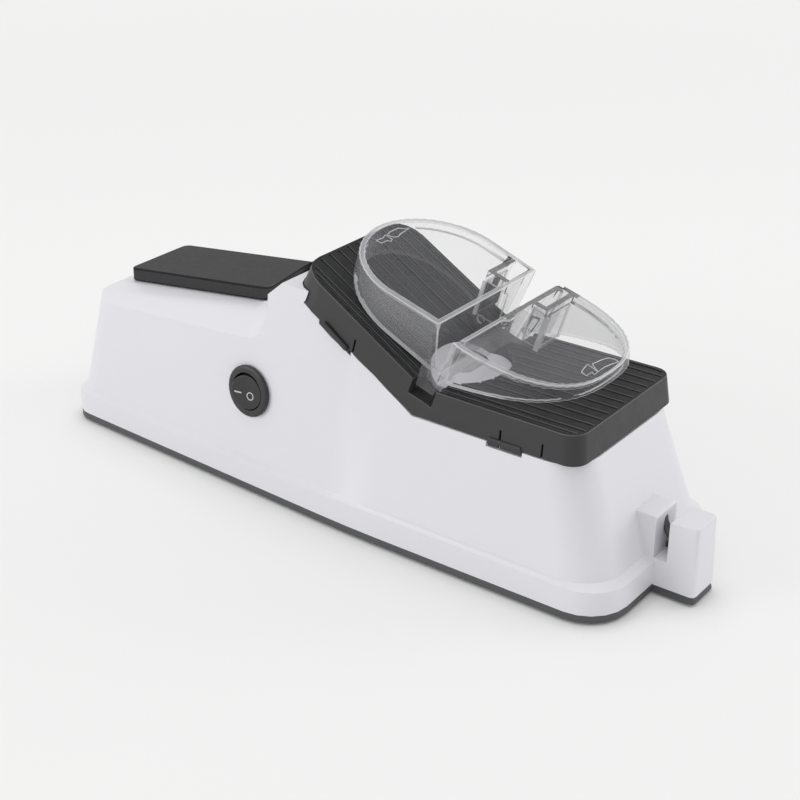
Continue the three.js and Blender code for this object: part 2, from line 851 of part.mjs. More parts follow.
function coverWidthAt(x, z) {
  const share = THREE.MathUtils.clamp((x - coverFromRear) / (coverRight - coverFromRear), 0, 1);
  const top = coverRearHalfWidth + (coverFrontHalfWidth - coverRearHalfWidth) * share;
  return top + coverWallDraftShare * (rampAt(x) - z);
}

function coverRing(z, inset, rearRadius = coverRearRadius) {
  const rear = coverFromRear + coverEndDraftShare * (z - coverEndHeight) + inset;
  const front = coverRight - coverWallDraftShare * (z - lowerFlat) - inset;
  const stations = [-3, -2, -1, 0, 1, 2, 3].map((step) => coverValley + step * bendBlend);
  return mirroredRing(roundedHalf(rear, front, rearRadius - inset / 2, coverFrontRadius - inset / 2,
    stations, (x) => coverWidthAt(x, z) - inset), z);
}

function coverLoft(inset) {
  return solid(loft([
    coverRing(lowerFlat - overrun * 2, inset),
    coverRing(coverEndHeight, inset),
    coverRing(rampAt(coverFromRear), inset, coverRearTopRadius),
  ]));
}

// Between the cover's lower edge, raised by a lift, and its ramps, lowered by a drop
function coverPrism(drop, lift) {
  const steep = drop * rampStretch;
  const valley = coverValley - (steep - drop) / rampSlopeShare;
  const left = coverFromRear - overrun;
  const points = [
    [left, coverEndHeight + lift],
    ...lowerLine(lift).slice(1),
    [caseLength, coverTop - drop],
    [valley, coverTop - drop],
    [left, rampAt(left) - steep],
  ];
  return solid(sideSlab(points, -frontHalfWidth * 2, frontHalfWidth * 2));
}

function channel(grow, floor) {
  const half = channelHalfWidth + grow;
  const box = block(-half, half, -frontHalfWidth, frontHalfWidth, -floor, lobeDepth);
  return solid(placed(box, toGuide));
}

// Slits beside the tabs, through both side walls of the cover
function slits() {
  return slitSpots.map(([x, lean]) => {
    const shift = slitHeight * Math.tan(lean * degree);
    const low = lowerEdgeAt(x) - overrun;
    const high = lowerEdgeAt(x) + slitHeight;
    const half = slitWidth / 2;
    const points = [[x - half, low], [x + half, low], [x + shift + half, high], [x + shift - half, high]];
    return solid(sideSlab(points, -frontHalfWidth, frontHalfWidth));
  });
}

function topCover() {
  let cover = coverLoft(0).intersect(coverPrism(0, 0));
  let hollow = coverLoft(coverWall).intersect(coverPrism(coverRoof, -overrun));
  hollow = hollow.subtract(channel(channelWall, channelDepth + channelFloor));
  cover = cover.subtract(hollow);
  tabSpots.forEach(([x, side]) => {
    cover = cover.add(tabSolid(x, side, 0));
  });
  const guardHole = solid(flatSlab(guardOutline(guardClearance), skirtTop, loftTop));
  const core = coverLoft(coverWall + slitWidth);
  const sideSlits = slits().map((slit) => slit.subtract(core));
  return without(cover, channel(0, channelDepth), guardHole, wheelRoom(), ribGrooves(), ...sideSlits);
}

// Grooves between the ribs, along both ramps, with a wider one inside each rim
function ribGrooves() {
  const front = coverRight - ribEndMargin;
  const rear = coverFromRear + coverEndDraftShare * (rampAt(coverFromRear) - coverEndHeight) / 2;
  const strip = (fromRear, fromFront, width) => solid(flatSlab([
    [rear, fromRear], [front, fromFront], [front, fromFront + width], [rear, fromRear + width],
  ], skirtTop, loftTop));
  const strips = [];
  for (let i = 0; i < ribCount; i += 1) {
    const y = (i - (ribCount - 1) / 2) * ribPitch - ribGroove / 2;
    strips.push(strip(y, y, ribGroove));
  }
  const outerRear = coverRearHalfWidth - rimWidth;
  const outerFront = coverFrontHalfWidth - rimWidth;
  strips.push(strip(outerRear - rimGroove, outerFront - rimGroove, rimGroove));
  strips.push(strip(-outerRear, -outerFront, rimGroove));
  const grooves = strips.reduce((sum, groove) => sum.add(groove)).intersect(aboveRamps(-ribDepth));
  return grooves.intersect(coverLoft(rimWidth));
}

function wheelRoom() {
  const half = wheelThickness / 2 + wheelClearance;
  return solid(turnedAlongAxis(wheelRadius + wheelClearance, -half, half));
}

function wheelGuard() {
  const outline = solid(flatSlab(guardOutline(0), skirtTop, loftTop));
  const core = solid(flatSlab(guardOutline(-guardWall), skirtTop, loftTop));
  const guard = outline.intersect(coverPrism(guardSink, 0));
  const hollow = core.intersect(coverPrism(guardSink + guardWall, -overrun));
  return without(guard, hollow, wheelRoom());
}

// Clear guide

const lobes = [
  {
    side: -1,
    edge: rearLobeEdge,
    edgeDraft: rearLobeEdgeDraftShare,
    top: rearLobeTop,
    rise: rearLobeRiseShare,
    innerHalfWidth: rearLobeInnerHalfWidth,
    halfWidth: rearLobeHalfWidth,
    shoulder: rearLobeShoulder,
    tip: rearLobeTip,
    round: rearLobeRoundShare,
    sideDraft: rearLobeSideDraftShare,
    tipDraft: rearLobeTipDraftShare,
    pocketReach: rearPocketReach,
  },
  {
    side: 1,
    edge: frontLobeEdge,
    edgeDraft: frontLobeEdgeDraftShare,
    top: -frontLobeDip,
    rise: frontLobeRiseShare,
    innerHalfWidth: frontLobeInnerHalfWidth,
    halfWidth: frontLobeHalfWidth,
    shoulder: frontLobeShoulder,
    tip: frontLobeTip,
    round: frontLobeRoundShare,
    sideDraft: frontLobeSideDraftShare,
    tipDraft: frontLobeTipDraftShare,
    pocketReach: frontPocketReach,
  },
];

function lobeRing(lobe, w, inset) {
  const half = roundedTip(
    lobe.edge + lobe.edgeDraft * w + inset,
    lobe.shoulder,
    lobe.tip + lobe.tipDraft * w - inset,
    lobe.innerHalfWidth + lobe.sideDraft * w - inset,
    lobe.halfWidth + lobe.sideDraft * w - inset,
    lobe.round,
    lobeSteps,
  );
  const points = mirroredRing(half, w);
  return lobe.side > 0 ? points : points.map((p) => new THREE.Vector3(-p.x, p.y, p.z)).reverse();
}

// Solid lobe, closed above by its rising top or by a plane under that
function lobeSolid(lobe, inset, drop) {
  const body = solid(placed(loft([lobeRing(lobe, -lobeDepth + overrun, inset),
    lobeRing(lobe, lobeDepth / 2, inset)]), toGuide));
  const far = lobe.tip * 2;
  const topAt = (u) => lobe.top + lobe.rise * (u - lobe.edge) - drop;
  const under = sideSlab([
    [0, -lobeDepth * 2], [lobe.side * far, -lobeDepth * 2], [lobe.side * far, topAt(far)], [0, topAt(0)],
  ], -frontHalfWidth * 2, frontHalfWidth * 2);
  return body.intersect(solid(placed(under, toGuide)));
}

// Everything above the cover's ramps, raised by a gap
function aboveRamps(raise) {
  const left = coverFromRear - overrun;
  const points = [
    [left, rampAt(left) + raise * rampStretch],
    [coverValley, coverTop + raise],
    [caseLength, coverTop + raise],
    [caseLength, loftTop * 2],
    [left, loftTop * 2],
  ];
  return solid(sideSlab(points, -frontHalfWidth * 2, frontHalfWidth * 2));
}

// Everything above the foot of the front lobe
function aboveFrontFoot() {
  const footAt = (x) => coverTop + frontFootLift + frontFootSlopeShare * (x - coverValley);
  const points = [
    [coverFromRear, footAt(coverFromRear)],
    [caseLength, footAt(caseLength)],
    [caseLength, loftTop * 2],
    [coverFromRear, loftTop * 2],
  ];
  return solid(sideSlab(points, -frontHalfWidth * 2, frontHalfWidth * 2));
}

// Well in the far corner of a lobe, beside the slot
function pocketSolid(lobe, inset) {
  const reach = lobe.side * (lobe.pocketReach - inset);
  const well = block(Math.min(0, reach), Math.max(0, reach), pocketInner + inset, frontHalfWidth,
    -lobeDepth * 2, lobeDepth);
  return solid(placed(well, toGuide));
}

function withPocket(shell, lobe) {
  const outer = pocketSolid(lobe, 0).intersect(lobeSolid(lobe, 0, 0));
  const inner = pocketSolid(lobe, guideWall).intersect(lobeSolid(lobe, guideWall, -overrun));
  return shell.add(outer).subtract(inner);
}

// Half round boss on the inner face of the front lobe's centre wall
function guideBoss(lobe) {
  const centre = lobe.edge + lobe.edgeDraft * -bossDepth + guideWall / 2;
  const tube = solid(drum(bossRadiusOut, -bossDepth, 0, smallSteps))
    .subtract(solid(drum(bossRadiusOut - bossWall, -bossDepth - overrun, overrun, smallSteps)));
  const outside = solid(block(-overrun * 2, 0, -bossRadiusOut * 2, bossRadiusOut * 2, -lobeDepth, lobeDepth));
  const half = tube.subtract(outside).translate(centre, -bossAside, 0).transform(toGuide.elements);
  return half.intersect(lobeSolid(lobe, 0, 0));
}

// Leg that carries a lobe's centre wall down into a notch of the cover
function guideLeg(lobe, low, near, far) {
  const high = low + legRise;
  const wallAt = (w) => lobe.edge + lobe.edgeDraft * w;
  const points = [
    [wallAt(low), low],
    [wallAt(low) + guideWall, low],
    [wallAt(high) + guideWall, high],
    [wallAt(high), high],
  ];
  const leg = sideSlab(points.map(([u, w]) => [lobe.side * u, w]), near, far);
  return solid(placed(leg, toGuide));
}

function knifeGuide() {
  const [rearLobe, frontLobe] = lobes;
  const low = -channelDepth + tieLift;
  const shell = (lobe) => {
    const hollow = lobeSolid(lobe, guideWall, guideRoof);
    return withPocket(lobeSolid(lobe, 0, 0).subtract(hollow), lobe);
  };
  let guide = shell(rearLobe).intersect(aboveRamps(guideGap));
  guide = guide.add(shell(frontLobe).add(guideBoss(frontLobe)).intersect(aboveFrontFoot()));
  const outerAt = (lobe) => lobe.side * (lobe.edge + lobe.edgeDraft * low + guideWall);
  [-1, 1].forEach((side) => {
    const near = side > 0 ? tieInner : -tieReach;
    const far = side > 0 ? tieReach : -tieInner;
    const tie = block(outerAt(rearLobe), outerAt(frontLobe), near, far, low, low + tieHeight);
    const edge = side * tieReach;
    const plate = block(outerAt(rearLobe), outerAt(frontLobe), Math.min(edge, edge - side * guideWall),
      Math.max(edge, edge - side * guideWall), low, low + tiePlateHeight);
    guide = guide.add(solid(placed(tie, toGuide))).add(solid(placed(plate, toGuide)));
    lobes.forEach((lobe) => {
      guide = guide.add(guideLeg(lobe, low, near, far));
    });
  });
  return guide;
}

// Wheel and motor, along the leaning axis of the wheel

const toAxis = new THREE.Matrix4()
  .makeTranslation(wheelX, 0, wheelZ)
  .multiply(new THREE.Matrix4().makeRotationY(guideLean * degree + halfTurn / 2))
  .multiply(new THREE.Matrix4().makeRotationZ(halfTurn));

function onAxis(geometry) {
  return placed(geometry, toAxis);
}

function turnedAlongAxis(radius, from, to, steps = roundSteps) {
  return onAxis(drum(radius, from, to, steps));
}

function ringAlongAxis(outer, inner, from, to, steps = roundSteps) {
  const body = solid(turnedAlongAxis(outer, from, to, steps));
  return body.subtract(solid(turnedAlongAxis(inner, from - overrun, to + overrun, steps)));
}

function grindingWheel() {
  const half = wheelThickness / 2;
  const bore = shaftRadius + fitGap;
  const crown = wheelRadius - wheelBevel;
  const profile = [[bore, -half], [crown, -half], [wheelRadius, -half + wheelBevel],
    [wheelRadius, half - wheelBevel], [crown, half], [bore, half], [bore, -half]];
  return solid(onAxis(turned(profile)));
}

function wheelFlange() {
  const face = -wheelThickness / 2 - fitGap;
  const hub = ringAlongAxis(flangeHub, shaftRadius + fitGap, face - flangeThickness * 2, face, smallSteps);
  return ringAlongAxis(flangeRadius, shaftRadius + fitGap, face - flangeThickness, face, smallSteps).add(hub);
}

function motorShaft() {
  const tail = -motorFromWheel + bossLength - overrun * 2;
  const nose = wheelThickness / 2 + fitGap * 2 + washerThickness + nutThickness + shaftBeyondNut;
  return solid(turnedAlongAxis(shaftRadius, tail, nose, smallSteps));
}

function wheelWasher() {
  const start = wheelThickness / 2 + fitGap;
  return ringAlongAxis(washerRadius, shaftRadius + fitGap, start, start + washerThickness, smallSteps);
}

function wheelNut() {
  const start = wheelThickness / 2 + fitGap * 2 + washerThickness;
  const end = start + nutThickness;
  const bore = turnedAlongAxis(shaftRadius + fitGap, start - overrun, end + overrun, smallSteps);
  return solid(turnedAlongAxis(nutRadius, start, end, nutSides)).subtract(solid(bore));
}

const motorFront = -motorFromWheel;
const motorRear = motorFront - motorLength;

function motorCan() {
  const tube = solid(turnedAlongAxis(motorRadius, motorRear + capThickness + fitGap, motorFront));
  const flats = [-1, 1].map((side) => {
    const far = motorRadius + overrun;
    return solid(onAxis(block(-far, far, side > 0 ? motorFlat : -far, side > 0 ? far : -motorFlat,
      motorRear - overrun, motorFront + overrun)));
  });
  const nose = solid(turnedAlongAxis(bossRadius, motorFront - overrun, motorFront + bossLength, smallSteps));
  const bore = turnedAlongAxis(shaftRadius + runGap, motorFront - overrun * 2,
    motorFront + bossLength + overrun, smallSteps);
  return without(tube, ...flats).add(nose).subtract(solid(bore));
}

function motorRearCap() {
  const disc = solid(turnedAlongAxis(motorRadius - rearCapInset, motorRear, motorRear + capThickness));
  const nub = turnedAlongAxis(bossRadius, motorRear - capThickness, motorRear + fitGap, smallSteps);
  return disc.add(solid(nub));
}

function motorTerminal(side) {
  const middle = side * terminalSpread;
  const half = terminalWidth / 2;
  return solid(onAxis(block(-half, half, middle - terminalThickness / 2, middle + terminalThickness / 2,
    motorRear - terminalLength, motorRear - fitGap)));
}

function motorCradle() {
  const back = motorFront - cradleFromFace - cradleLength;
  const face = motorFront - cradleFromFace;
  const box = block(-motorRadius * cradleReachShare, -fitGap, -cradleHalfWidth, cradleHalfWidth, back, face);
  const lean = solid(onAxis(box));
  const above = solid(block(0, caseLength, -frontHalfWidth, frontHalfWidth, plateTop, loftTop));
  const seat = solid(turnedAlongAxis(motorRadius + fitGap, back - overrun, motorFront + overrun));
  const inner = cradleHalfWidth - cradleWall;
  const hollow = solid(onAxis(block(-motorRadius * cradleReachShare, -motorRadius - cradleWall, -inner, inner,
    back + cradleWall, face - cradleWall)));
  const holes = [-1, 1].map((side) => solid(onAxis(placed(
    drum(screwRadius + fitGap, -strapScrewLength - fitGap, overrun, smallSteps), strapScrewMatrix(side)))));
  return without(lean.intersect(above), seat, hollow, ...holes);
}

const strapMiddle = motorFront - cradleFromFace - cradleLength / 2;
const strapOuter = motorRadius + fitGap + strapThickness;

function strapScrewMatrix(side) {
  const y = side * (strapOuter + strapEar / 2);
  return new THREE.Matrix4().makeTranslation(0, y, strapMiddle)
    .multiply(new THREE.Matrix4().makeRotationY(halfTurn / 2));
}

function motorStrap() {
  const from = strapMiddle - strapWidth / 2;
  const to = strapMiddle + strapWidth / 2;
  const ring = ringAlongAxis(strapOuter, motorRadius + fitGap, from, to);
  const upper = solid(onAxis(block(0, strapOuter + overrun, -strapOuter - overrun, strapOuter + overrun,
    from - overrun, to + overrun)));
  let strap = ring.intersect(upper);
  [-1, 1].forEach((side) => {
    const near = side * (motorRadius + fitGap * 2);
    const far = side * (strapOuter + strapEar);
    const ear = solid(onAxis(block(0, strapThickness, Math.min(near, far), Math.max(near, far), from, to)));
    const hole = solid(onAxis(placed(drum(screwRadius + fitGap, -overrun, overrun, smallSteps),
      strapScrewMatrix(side))));
    strap = strap.add(ear).subtract(hole);
  });
  return strap;
}

function screw(length, headHeight) {
  const shank = solid(drum(screwRadius, -length, headHeight / 2, smallSteps));
  return shank.add(solid(drum(screwHeadRadius, 0, headHeight, smallSteps)));
}

function strapScrew(side) {
  const lift = new THREE.Matrix4().makeTranslation(0, 0, strapThickness + fitGap);
  const matrix = toAxis.clone().multiply(strapScrewMatrix(side)).multiply(lift);
  return solid(placed(geometryOf(screw(strapScrewLength, screwHeadHeight)), matrix));
}

// Switch

function switchHousing() {
  const rim = bezelProud - bezelEdge / 2;
  const profile = [[0, -barrelDepth], [barrelRadius, -barrelDepth], [barrelRadius, seatGap],
    [bezelRadius, seatGap], [bezelRadius, rim], [bezelRadius - bezelEdge, bezelProud], [0, bezelProud]];
  const well = drum(wellRadius, -wellDepth, bezelProud + overrun);
  return solid(placed(turned(profile), switchMatrix())).subtract(solid(placed(well, switchMatrix())));
}

// Rocker in the switch's frame, resting with its front end pressed in
function rockerMatrix() {
  return switchMatrix()
    .multiply(new THREE.Matrix4().makeTranslation(0, 0, -rockerPivotDepth))
    .multiply(new THREE.Matrix4().makeRotationY(rockerTilt * degree));
}

function switchRocker() {
  const crest = rockerPivotDepth + rockerCrest;
  const dish = rockerRadius * rockerDishShare;
  const far = rockerRadius + overrun;
  const profile = [[-far, crest + dish], [0, crest - dish], [far, crest + dish],
    [far, crest - rockerBody], [rockerRadius / 2, -rockerBody / 2], [-rockerRadius / 2, -rockerBody / 2],
    [-far, crest - rockerBody]];
  const slab = solid(sideSlab(profile, -far, far));
  const disc = solid(drum(rockerRadius, -rockerBody, crest + overrun));
  return solid(placed(geometryOf(slab.intersect(disc)), rockerMatrix()));
}

function switchBlade(side) {
  const half = bladeWidth / 2;
  const middle = side * bladeSpread;
  return solid(placed(block(middle - bladeThickness / 2, middle + bladeThickness / 2, -half, half,
    -barrelDepth - seatGap - bladeLength, -barrelDepth - seatGap), switchMatrix()));
}

// Inlet

function powerInlet() {
  const flange = flatSlab(roundedRect(inletFlangeHalfWidth, inletFlangeHalfHeight, inletFlangeRadius),
    seatGap, inletFlangeThickness + seatGap);
  const body = flatSlab(roundedRect(inletBodyHalfWidth, inletBodyHalfHeight, inletBodyRadius),
    -inletBodyDepth, seatGap * 2);
  const mouth = flatSlab(roundedRect(inletMouthHalfWidth, inletMouthRadius, inletMouthRadius - seatGap),
    -inletMouthDepth, overrun);
  let inlet = solid(flange).add(solid(body)).subtract(solid(mouth));
  [-1, 1].forEach((side) => {
    const bore = drum(pinRadius + fitGap, -inletBodyDepth - overrun, 0, smallSteps);
    inlet = inlet.subtract(solid(bore.translate(side * pinSpread, 0, 0)));
  });
  return solid(placed(geometryOf(inlet), inletMatrix()));
}

function inletPin(side) {
  const pin = drum(pinRadius, -inletBodyDepth - pinTail, -inletMouthDepth + pinLength, smallSteps);
  return solid(placed(pin.translate(side * pinSpread, 0, 0), inletMatrix()));
}

// Board

function boardCorners() {
  return [0, 1].flatMap((end) => [-1, 1].map((side) => [
    boardFromRear + (end ? boardLength - boardPostInset : boardPostInset),
    side * (boardHalfWidth - boardPostInset),
  ]));
}

const boardBottom = plateTop + boardStand;
const boardTop = boardBottom + boardThickness;

function circuitBoard() {
  return solid(block(boardFromRear, boardFromRear + boardLength, -boardHalfWidth, boardHalfWidth,
    boardBottom, boardTop));
}

function boardCapacitor() {
  const crown = capacitorHeight - capacitorEdge;
  const profile = [[0, 0], [capacitorRadius, 0], [capacitorRadius, crown],
    [capacitorRadius - capacitorEdge, capacitorHeight], [0, capacitorHeight]];
  const x = boardFromRear + boardLength * capacitorPlaceShare;
  return solid(turned(profile, smallSteps).translate(x, capacitorAside, boardTop));
}

function boardRectifier() {
  const x = boardFromRear + boardLength * rectifierPlaceShare;
  return solid(block(x, x + rectifierWidth, -rectifierLength / 2, rectifierLength / 2,
    boardTop, boardTop + rectifierHeight));
}

// Leads between the inlet, the switch, the board and the motor

function lead(points) {
  const curve = new THREE.CatmullRomCurve3(points.map((p) => new THREE.Vector3(...p)), false, "centripetal");
  const ring = [];
  for (let i = 0; i < leadSides; i += 1) {
    const angle = 2 * halfTurn * i / leadSides;
    ring.push([leadRadius * Math.cos(angle), leadRadius * Math.sin(angle)]);
  }
  const shape = new THREE.Shape(ring.map(([a, b]) => new THREE.Vector2(a, b)));
  const options = { steps: leadSteps, extrudePath: curve, bevelEnabled: false };
  return solid(new THREE.ExtrudeGeometry(shape, options));
}

function spotIn(matrix, a, b, c) {
  return new THREE.Vector3(a, b, c).applyMatrix4(matrix).toArray();
}

function leadRoutes() {
  const pinEnd = -inletBodyDepth - pinTail - leadGap;
  const bladeEnd = -barrelDepth - seatGap - bladeLength - leadGap;
  const motorEnd = motorRear - terminalLength - leadGap;
  const boardEdge = boardFromRear + boardPostInset * 2;
  const boardY = boardHalfWidth - boardPostInset;
  const rise = leadRadius * leadRiseShare;
  const inlet = inletMatrix();
  const rocker = switchMatrix();
  const down = (x, y) => [[x, y, boardTop + rise * 2], [x, y, boardTop + rise], [x, y, boardTop + leadGap]];
  return {
    lead_inlet_to_board: [
      spotIn(inlet, -pinSpread, 0, pinEnd), spotIn(inlet, -pinSpread, 0, pinEnd - rise),
      ...down(boardEdge, boardY),
    ],
    lead_inlet_to_switch: [
      spotIn(inlet, pinSpread, 0, pinEnd), spotIn(inlet, pinSpread, 0, pinEnd - rise),
      [boardFromRear, -boardHalfWidth, inletHeight],
      [boardFromRear + boardLength, -boardHalfWidth + rise, switchHeight + rise / 2],
      spotIn(rocker, -bladeSpread, 0, bladeEnd - rise), spotIn(rocker, -bladeSpread, 0, bladeEnd),
    ],
    lead_switch_to_board: [
      spotIn(rocker, bladeSpread, 0, bladeEnd), spotIn(rocker, bladeSpread, 0, bladeEnd - rise / 2),
      [boardFromRear + boardLength + boardPostInset * 2, -rise / 2, boardTop + rise * 2],
      ...down(boardFromRear + boardLength - boardPostInset, -rise / 2),
    ],
    lead_board_to_motor: [
      spotIn(toAxis, 0, -terminalSpread, motorEnd),
      spotIn(toAxis, -leadRadius, -terminalSpread, motorEnd - leadRadius * 2),
      [boardFromRear + boardLength, boardY, switchHeight],
      ...down(boardFromRear + boardLength - boardPostInset, boardY),
    ],
  };
}

function foot(x, side) {
  const y = side * (caseWidthAt(x) - footInset);
  return solid(drum(footRadius, 0, footReach + footRecess, smallSteps).translate(x, y, 0));
}

function baseScrew(x, side) {
  const seat = new THREE.Matrix4().makeTranslation(x, side * postY(x), footReach + baseScrewHead)
    .multiply(new THREE.Matrix4().makeRotationX(halfTurn));
  return solid(placed(geometryOf(screw(baseScrewLength - overrun, baseScrewHead)), seat));
}

// The whole part, with its origin under the middle of its footprint

const sharpener = new THREE.Group();
sharpener.position.x = -overallLength / 2;

function addPart(name, body, look) {
  const mesh = new THREE.Mesh(geometryOf(body), new THREE.MeshStandardMaterial(colours[look]));
  mesh.name = name;
  sharpener.add(mesh);
}

addPart("body_shell", bodyShell(), "white");
addPart("base_plate", basePlate(), "base");
addPart("hand_pad", handPad(), "soft");
addPart("top_cover", topCover(), "dark");
addPart("wheel_guard", wheelGuard(), "white");
addPart("knife_guide", knifeGuide(), "clear");
addPart("switch_housing", switchHousing(), "black");
addPart("switch_rocker", switchRocker(), "black");
addPart("switch_terminal_1", switchBlade(-1), "brass");
addPart("switch_terminal_2", switchBlade(1), "brass");
addPart("ceramic_rod_1", rodSolid(0, 0), "ceramic");
addPart("ceramic_rod_2", rodSolid(1, 0), "ceramic");
addPart("grinding_wheel", grindingWheel(), "grit");
addPart("wheel_flange", wheelFlange(), "steel");
addPart("wheel_washer", wheelWasher(), "steel");
addPart("wheel_nut", wheelNut(), "steel");
addPart("motor_shaft", motorShaft(), "steel");
addPart("motor_can", motorCan(), "steel");
addPart("motor_rear_cap", motorRearCap(), "black");
addPart("motor_terminal_1", motorTerminal(-1), "brass");
addPart("motor_terminal_2", motorTerminal(1), "brass");
addPart("motor_cradle", motorCradle(), "black");
addPart("motor_strap", motorStrap(), "steel");
addPart("strap_screw_1", strapScrew(-1), "steel");
addPart("strap_screw_2", strapScrew(1), "steel");
addPart("power_inlet", powerInlet(), "black");
addPart("inlet_pin_1", inletPin(-1), "brass");
addPart("inlet_pin_2", inletPin(1), "brass");
addPart("circuit_board", circuitBoard(), "board");
addPart("board_capacitor", boardCapacitor(), "black");
addPart("board_rectifier", boardRectifier(), "black");
Object.entries(leadRoutes()).forEach(([name, points]) => addPart(name, lead(points), "copper"));
footSpots.forEach(([x, side], i) => addPart(`rubber_foot_${i + 1}`, foot(x, side), "rubber"));
postSpots.forEach(([x, side], i) => addPart(`base_screw_${i + 1}`, baseScrew(x, side), "steel"));

export default sharpener;
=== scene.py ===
import json
import math
import bpy
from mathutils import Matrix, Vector

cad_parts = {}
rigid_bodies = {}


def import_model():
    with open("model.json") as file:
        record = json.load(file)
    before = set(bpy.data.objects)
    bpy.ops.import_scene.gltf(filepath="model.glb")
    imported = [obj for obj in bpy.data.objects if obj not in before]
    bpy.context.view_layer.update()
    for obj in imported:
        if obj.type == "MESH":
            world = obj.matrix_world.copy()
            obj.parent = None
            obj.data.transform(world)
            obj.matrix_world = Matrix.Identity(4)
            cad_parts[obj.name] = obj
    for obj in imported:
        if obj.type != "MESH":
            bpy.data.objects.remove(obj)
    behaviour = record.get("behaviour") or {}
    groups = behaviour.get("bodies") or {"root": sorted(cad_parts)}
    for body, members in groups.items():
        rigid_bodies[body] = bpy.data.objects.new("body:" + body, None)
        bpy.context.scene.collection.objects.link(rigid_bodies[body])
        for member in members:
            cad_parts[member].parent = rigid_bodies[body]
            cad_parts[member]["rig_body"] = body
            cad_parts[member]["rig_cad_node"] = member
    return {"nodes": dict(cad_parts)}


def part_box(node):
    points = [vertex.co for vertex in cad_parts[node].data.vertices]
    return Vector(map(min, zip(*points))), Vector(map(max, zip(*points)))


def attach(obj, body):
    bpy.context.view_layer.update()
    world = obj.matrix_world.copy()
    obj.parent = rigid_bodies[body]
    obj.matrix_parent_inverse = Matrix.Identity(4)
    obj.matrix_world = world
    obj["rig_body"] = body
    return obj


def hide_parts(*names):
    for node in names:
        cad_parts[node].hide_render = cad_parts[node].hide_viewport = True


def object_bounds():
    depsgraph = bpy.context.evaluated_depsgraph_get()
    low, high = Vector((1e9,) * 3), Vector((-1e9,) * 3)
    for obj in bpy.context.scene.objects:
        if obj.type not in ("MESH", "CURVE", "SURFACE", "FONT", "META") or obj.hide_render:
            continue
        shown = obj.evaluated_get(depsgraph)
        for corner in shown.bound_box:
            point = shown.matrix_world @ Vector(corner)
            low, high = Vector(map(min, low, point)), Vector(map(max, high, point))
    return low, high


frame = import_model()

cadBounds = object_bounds()
rearEnd = cadBounds[0][0]
print("stage: frame loaded")


def onlySelect(piece):
    if bpy.context.object and bpy.context.object.mode != "OBJECT":
        bpy.ops.object.mode_set(mode="OBJECT")
    bpy.ops.object.select_all(action="DESELECT")
    piece.select_set(True)
    bpy.context.view_layer.objects.active = piece


def editAll(piece):
    # edit mode, with all of the piece selected
    onlySelect(piece)
    bpy.ops.object.mode_set(mode="EDIT")
    bpy.ops.mesh.select_all(action="SELECT")


def selectFaces(piece, chosen):
    # edit mode, with the faces that pass the test selected
    onlySelect(piece)
    bpy.ops.object.mode_set(mode="EDIT")
    bpy.ops.mesh.select_mode(type="FACE")
    bpy.ops.mesh.select_all(action="DESELECT")
    bpy.ops.object.mode_set(mode="OBJECT")
    for face in piece.data.polygons:
        face.select = chosen(face)
    bpy.ops.object.mode_set(mode="EDIT")


def spot(x, y, z):
    # millimetres from the case's rear end, the middle line and the floor
    return Vector((rearEnd + x / 1000, y / 1000, z / 1000))


def copyOfNode(node, name, mergeWithin=0.000004, flatWithin=0.8):
    # a copy of its own, with whole faces instead of the CAD's triangles
    source = frame["nodes"][node]
    piece = source.copy()
    piece.data = source.data.copy()
    piece.name = name
    piece.data.name = name
    piece.parent = None
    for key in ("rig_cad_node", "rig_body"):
        if key in piece:
            del piece[key]
    bpy.context.scene.collection.objects.link(piece)
    piece.data.materials.clear()
    onlySelect(piece)
    bpy.ops.mesh.customdata_custom_splitnormals_clear()
    editAll(piece)
    bpy.ops.mesh.remove_doubles(threshold=mergeWithin)
    bpy.ops.mesh.dissolve_limited(angle_limit=math.radians(flatWithin))
    bpy.ops.object.mode_set(mode="OBJECT")
    return piece


def bevelEdges(piece, look, stripSlot=-1):
    # stripSlot gives the new strips a material slot of their own
    onlySelect(piece)
    bevel = piece.modifiers.new("softEdges", "BEVEL")
    bevel.width = look["edgeWidth"]
    bevel.segments = look["edgeSegments"]
    bevel.limit_method = "ANGLE"
    bevel.angle_limit = math.radians(look.get("edgeAngle", 38))
    bevel.use_clamp_overlap = False
    bevel.material = stripSlot
    bpy.ops.object.modifier_apply(modifier=bevel.name)


def smoothShade(piece, angle=32, weight=60):
    onlySelect(piece)
    bpy.ops.object.shade_smooth_by_angle(angle=math.radians(angle))
    weigh = piece.modifiers.new("weighedNormals", "WEIGHTED_NORMAL")
    weigh.keep_sharp = True
    weigh.weight = weight
    bpy.ops.object.modifier_apply(modifier=weigh.name)


def cutWith(piece, tool, operation):
    onlySelect(piece)
    cut = piece.modifiers.new("cut", "BOOLEAN")
    cut.operation = operation
    cut.solver = "EXACT"
    cut.object = tool
    bpy.ops.object.modifier_apply(modifier=cut.name)


def splitAcross(piece, place, direction):
    # new edges where a plane crosses the piece, which stays whole
    editAll(piece)
    bpy.ops.mesh.bisect(plane_co=place, plane_no=direction)
    bpy.ops.object.mode_set(mode="OBJECT")


def addBlock(name, place, lean, size):
    # a block of this size in millimetres, leaning about the line across the part
    bpy.ops.mesh.primitive_cube_add(size=1, location=place, rotation=(0, lean, 0))
    block = bpy.context.object
    block.name = name
    block.scale = [side / 1000 for side in size]
    bpy.ops.object.transform_apply(location=True, rotation=True, scale=True)
    return block


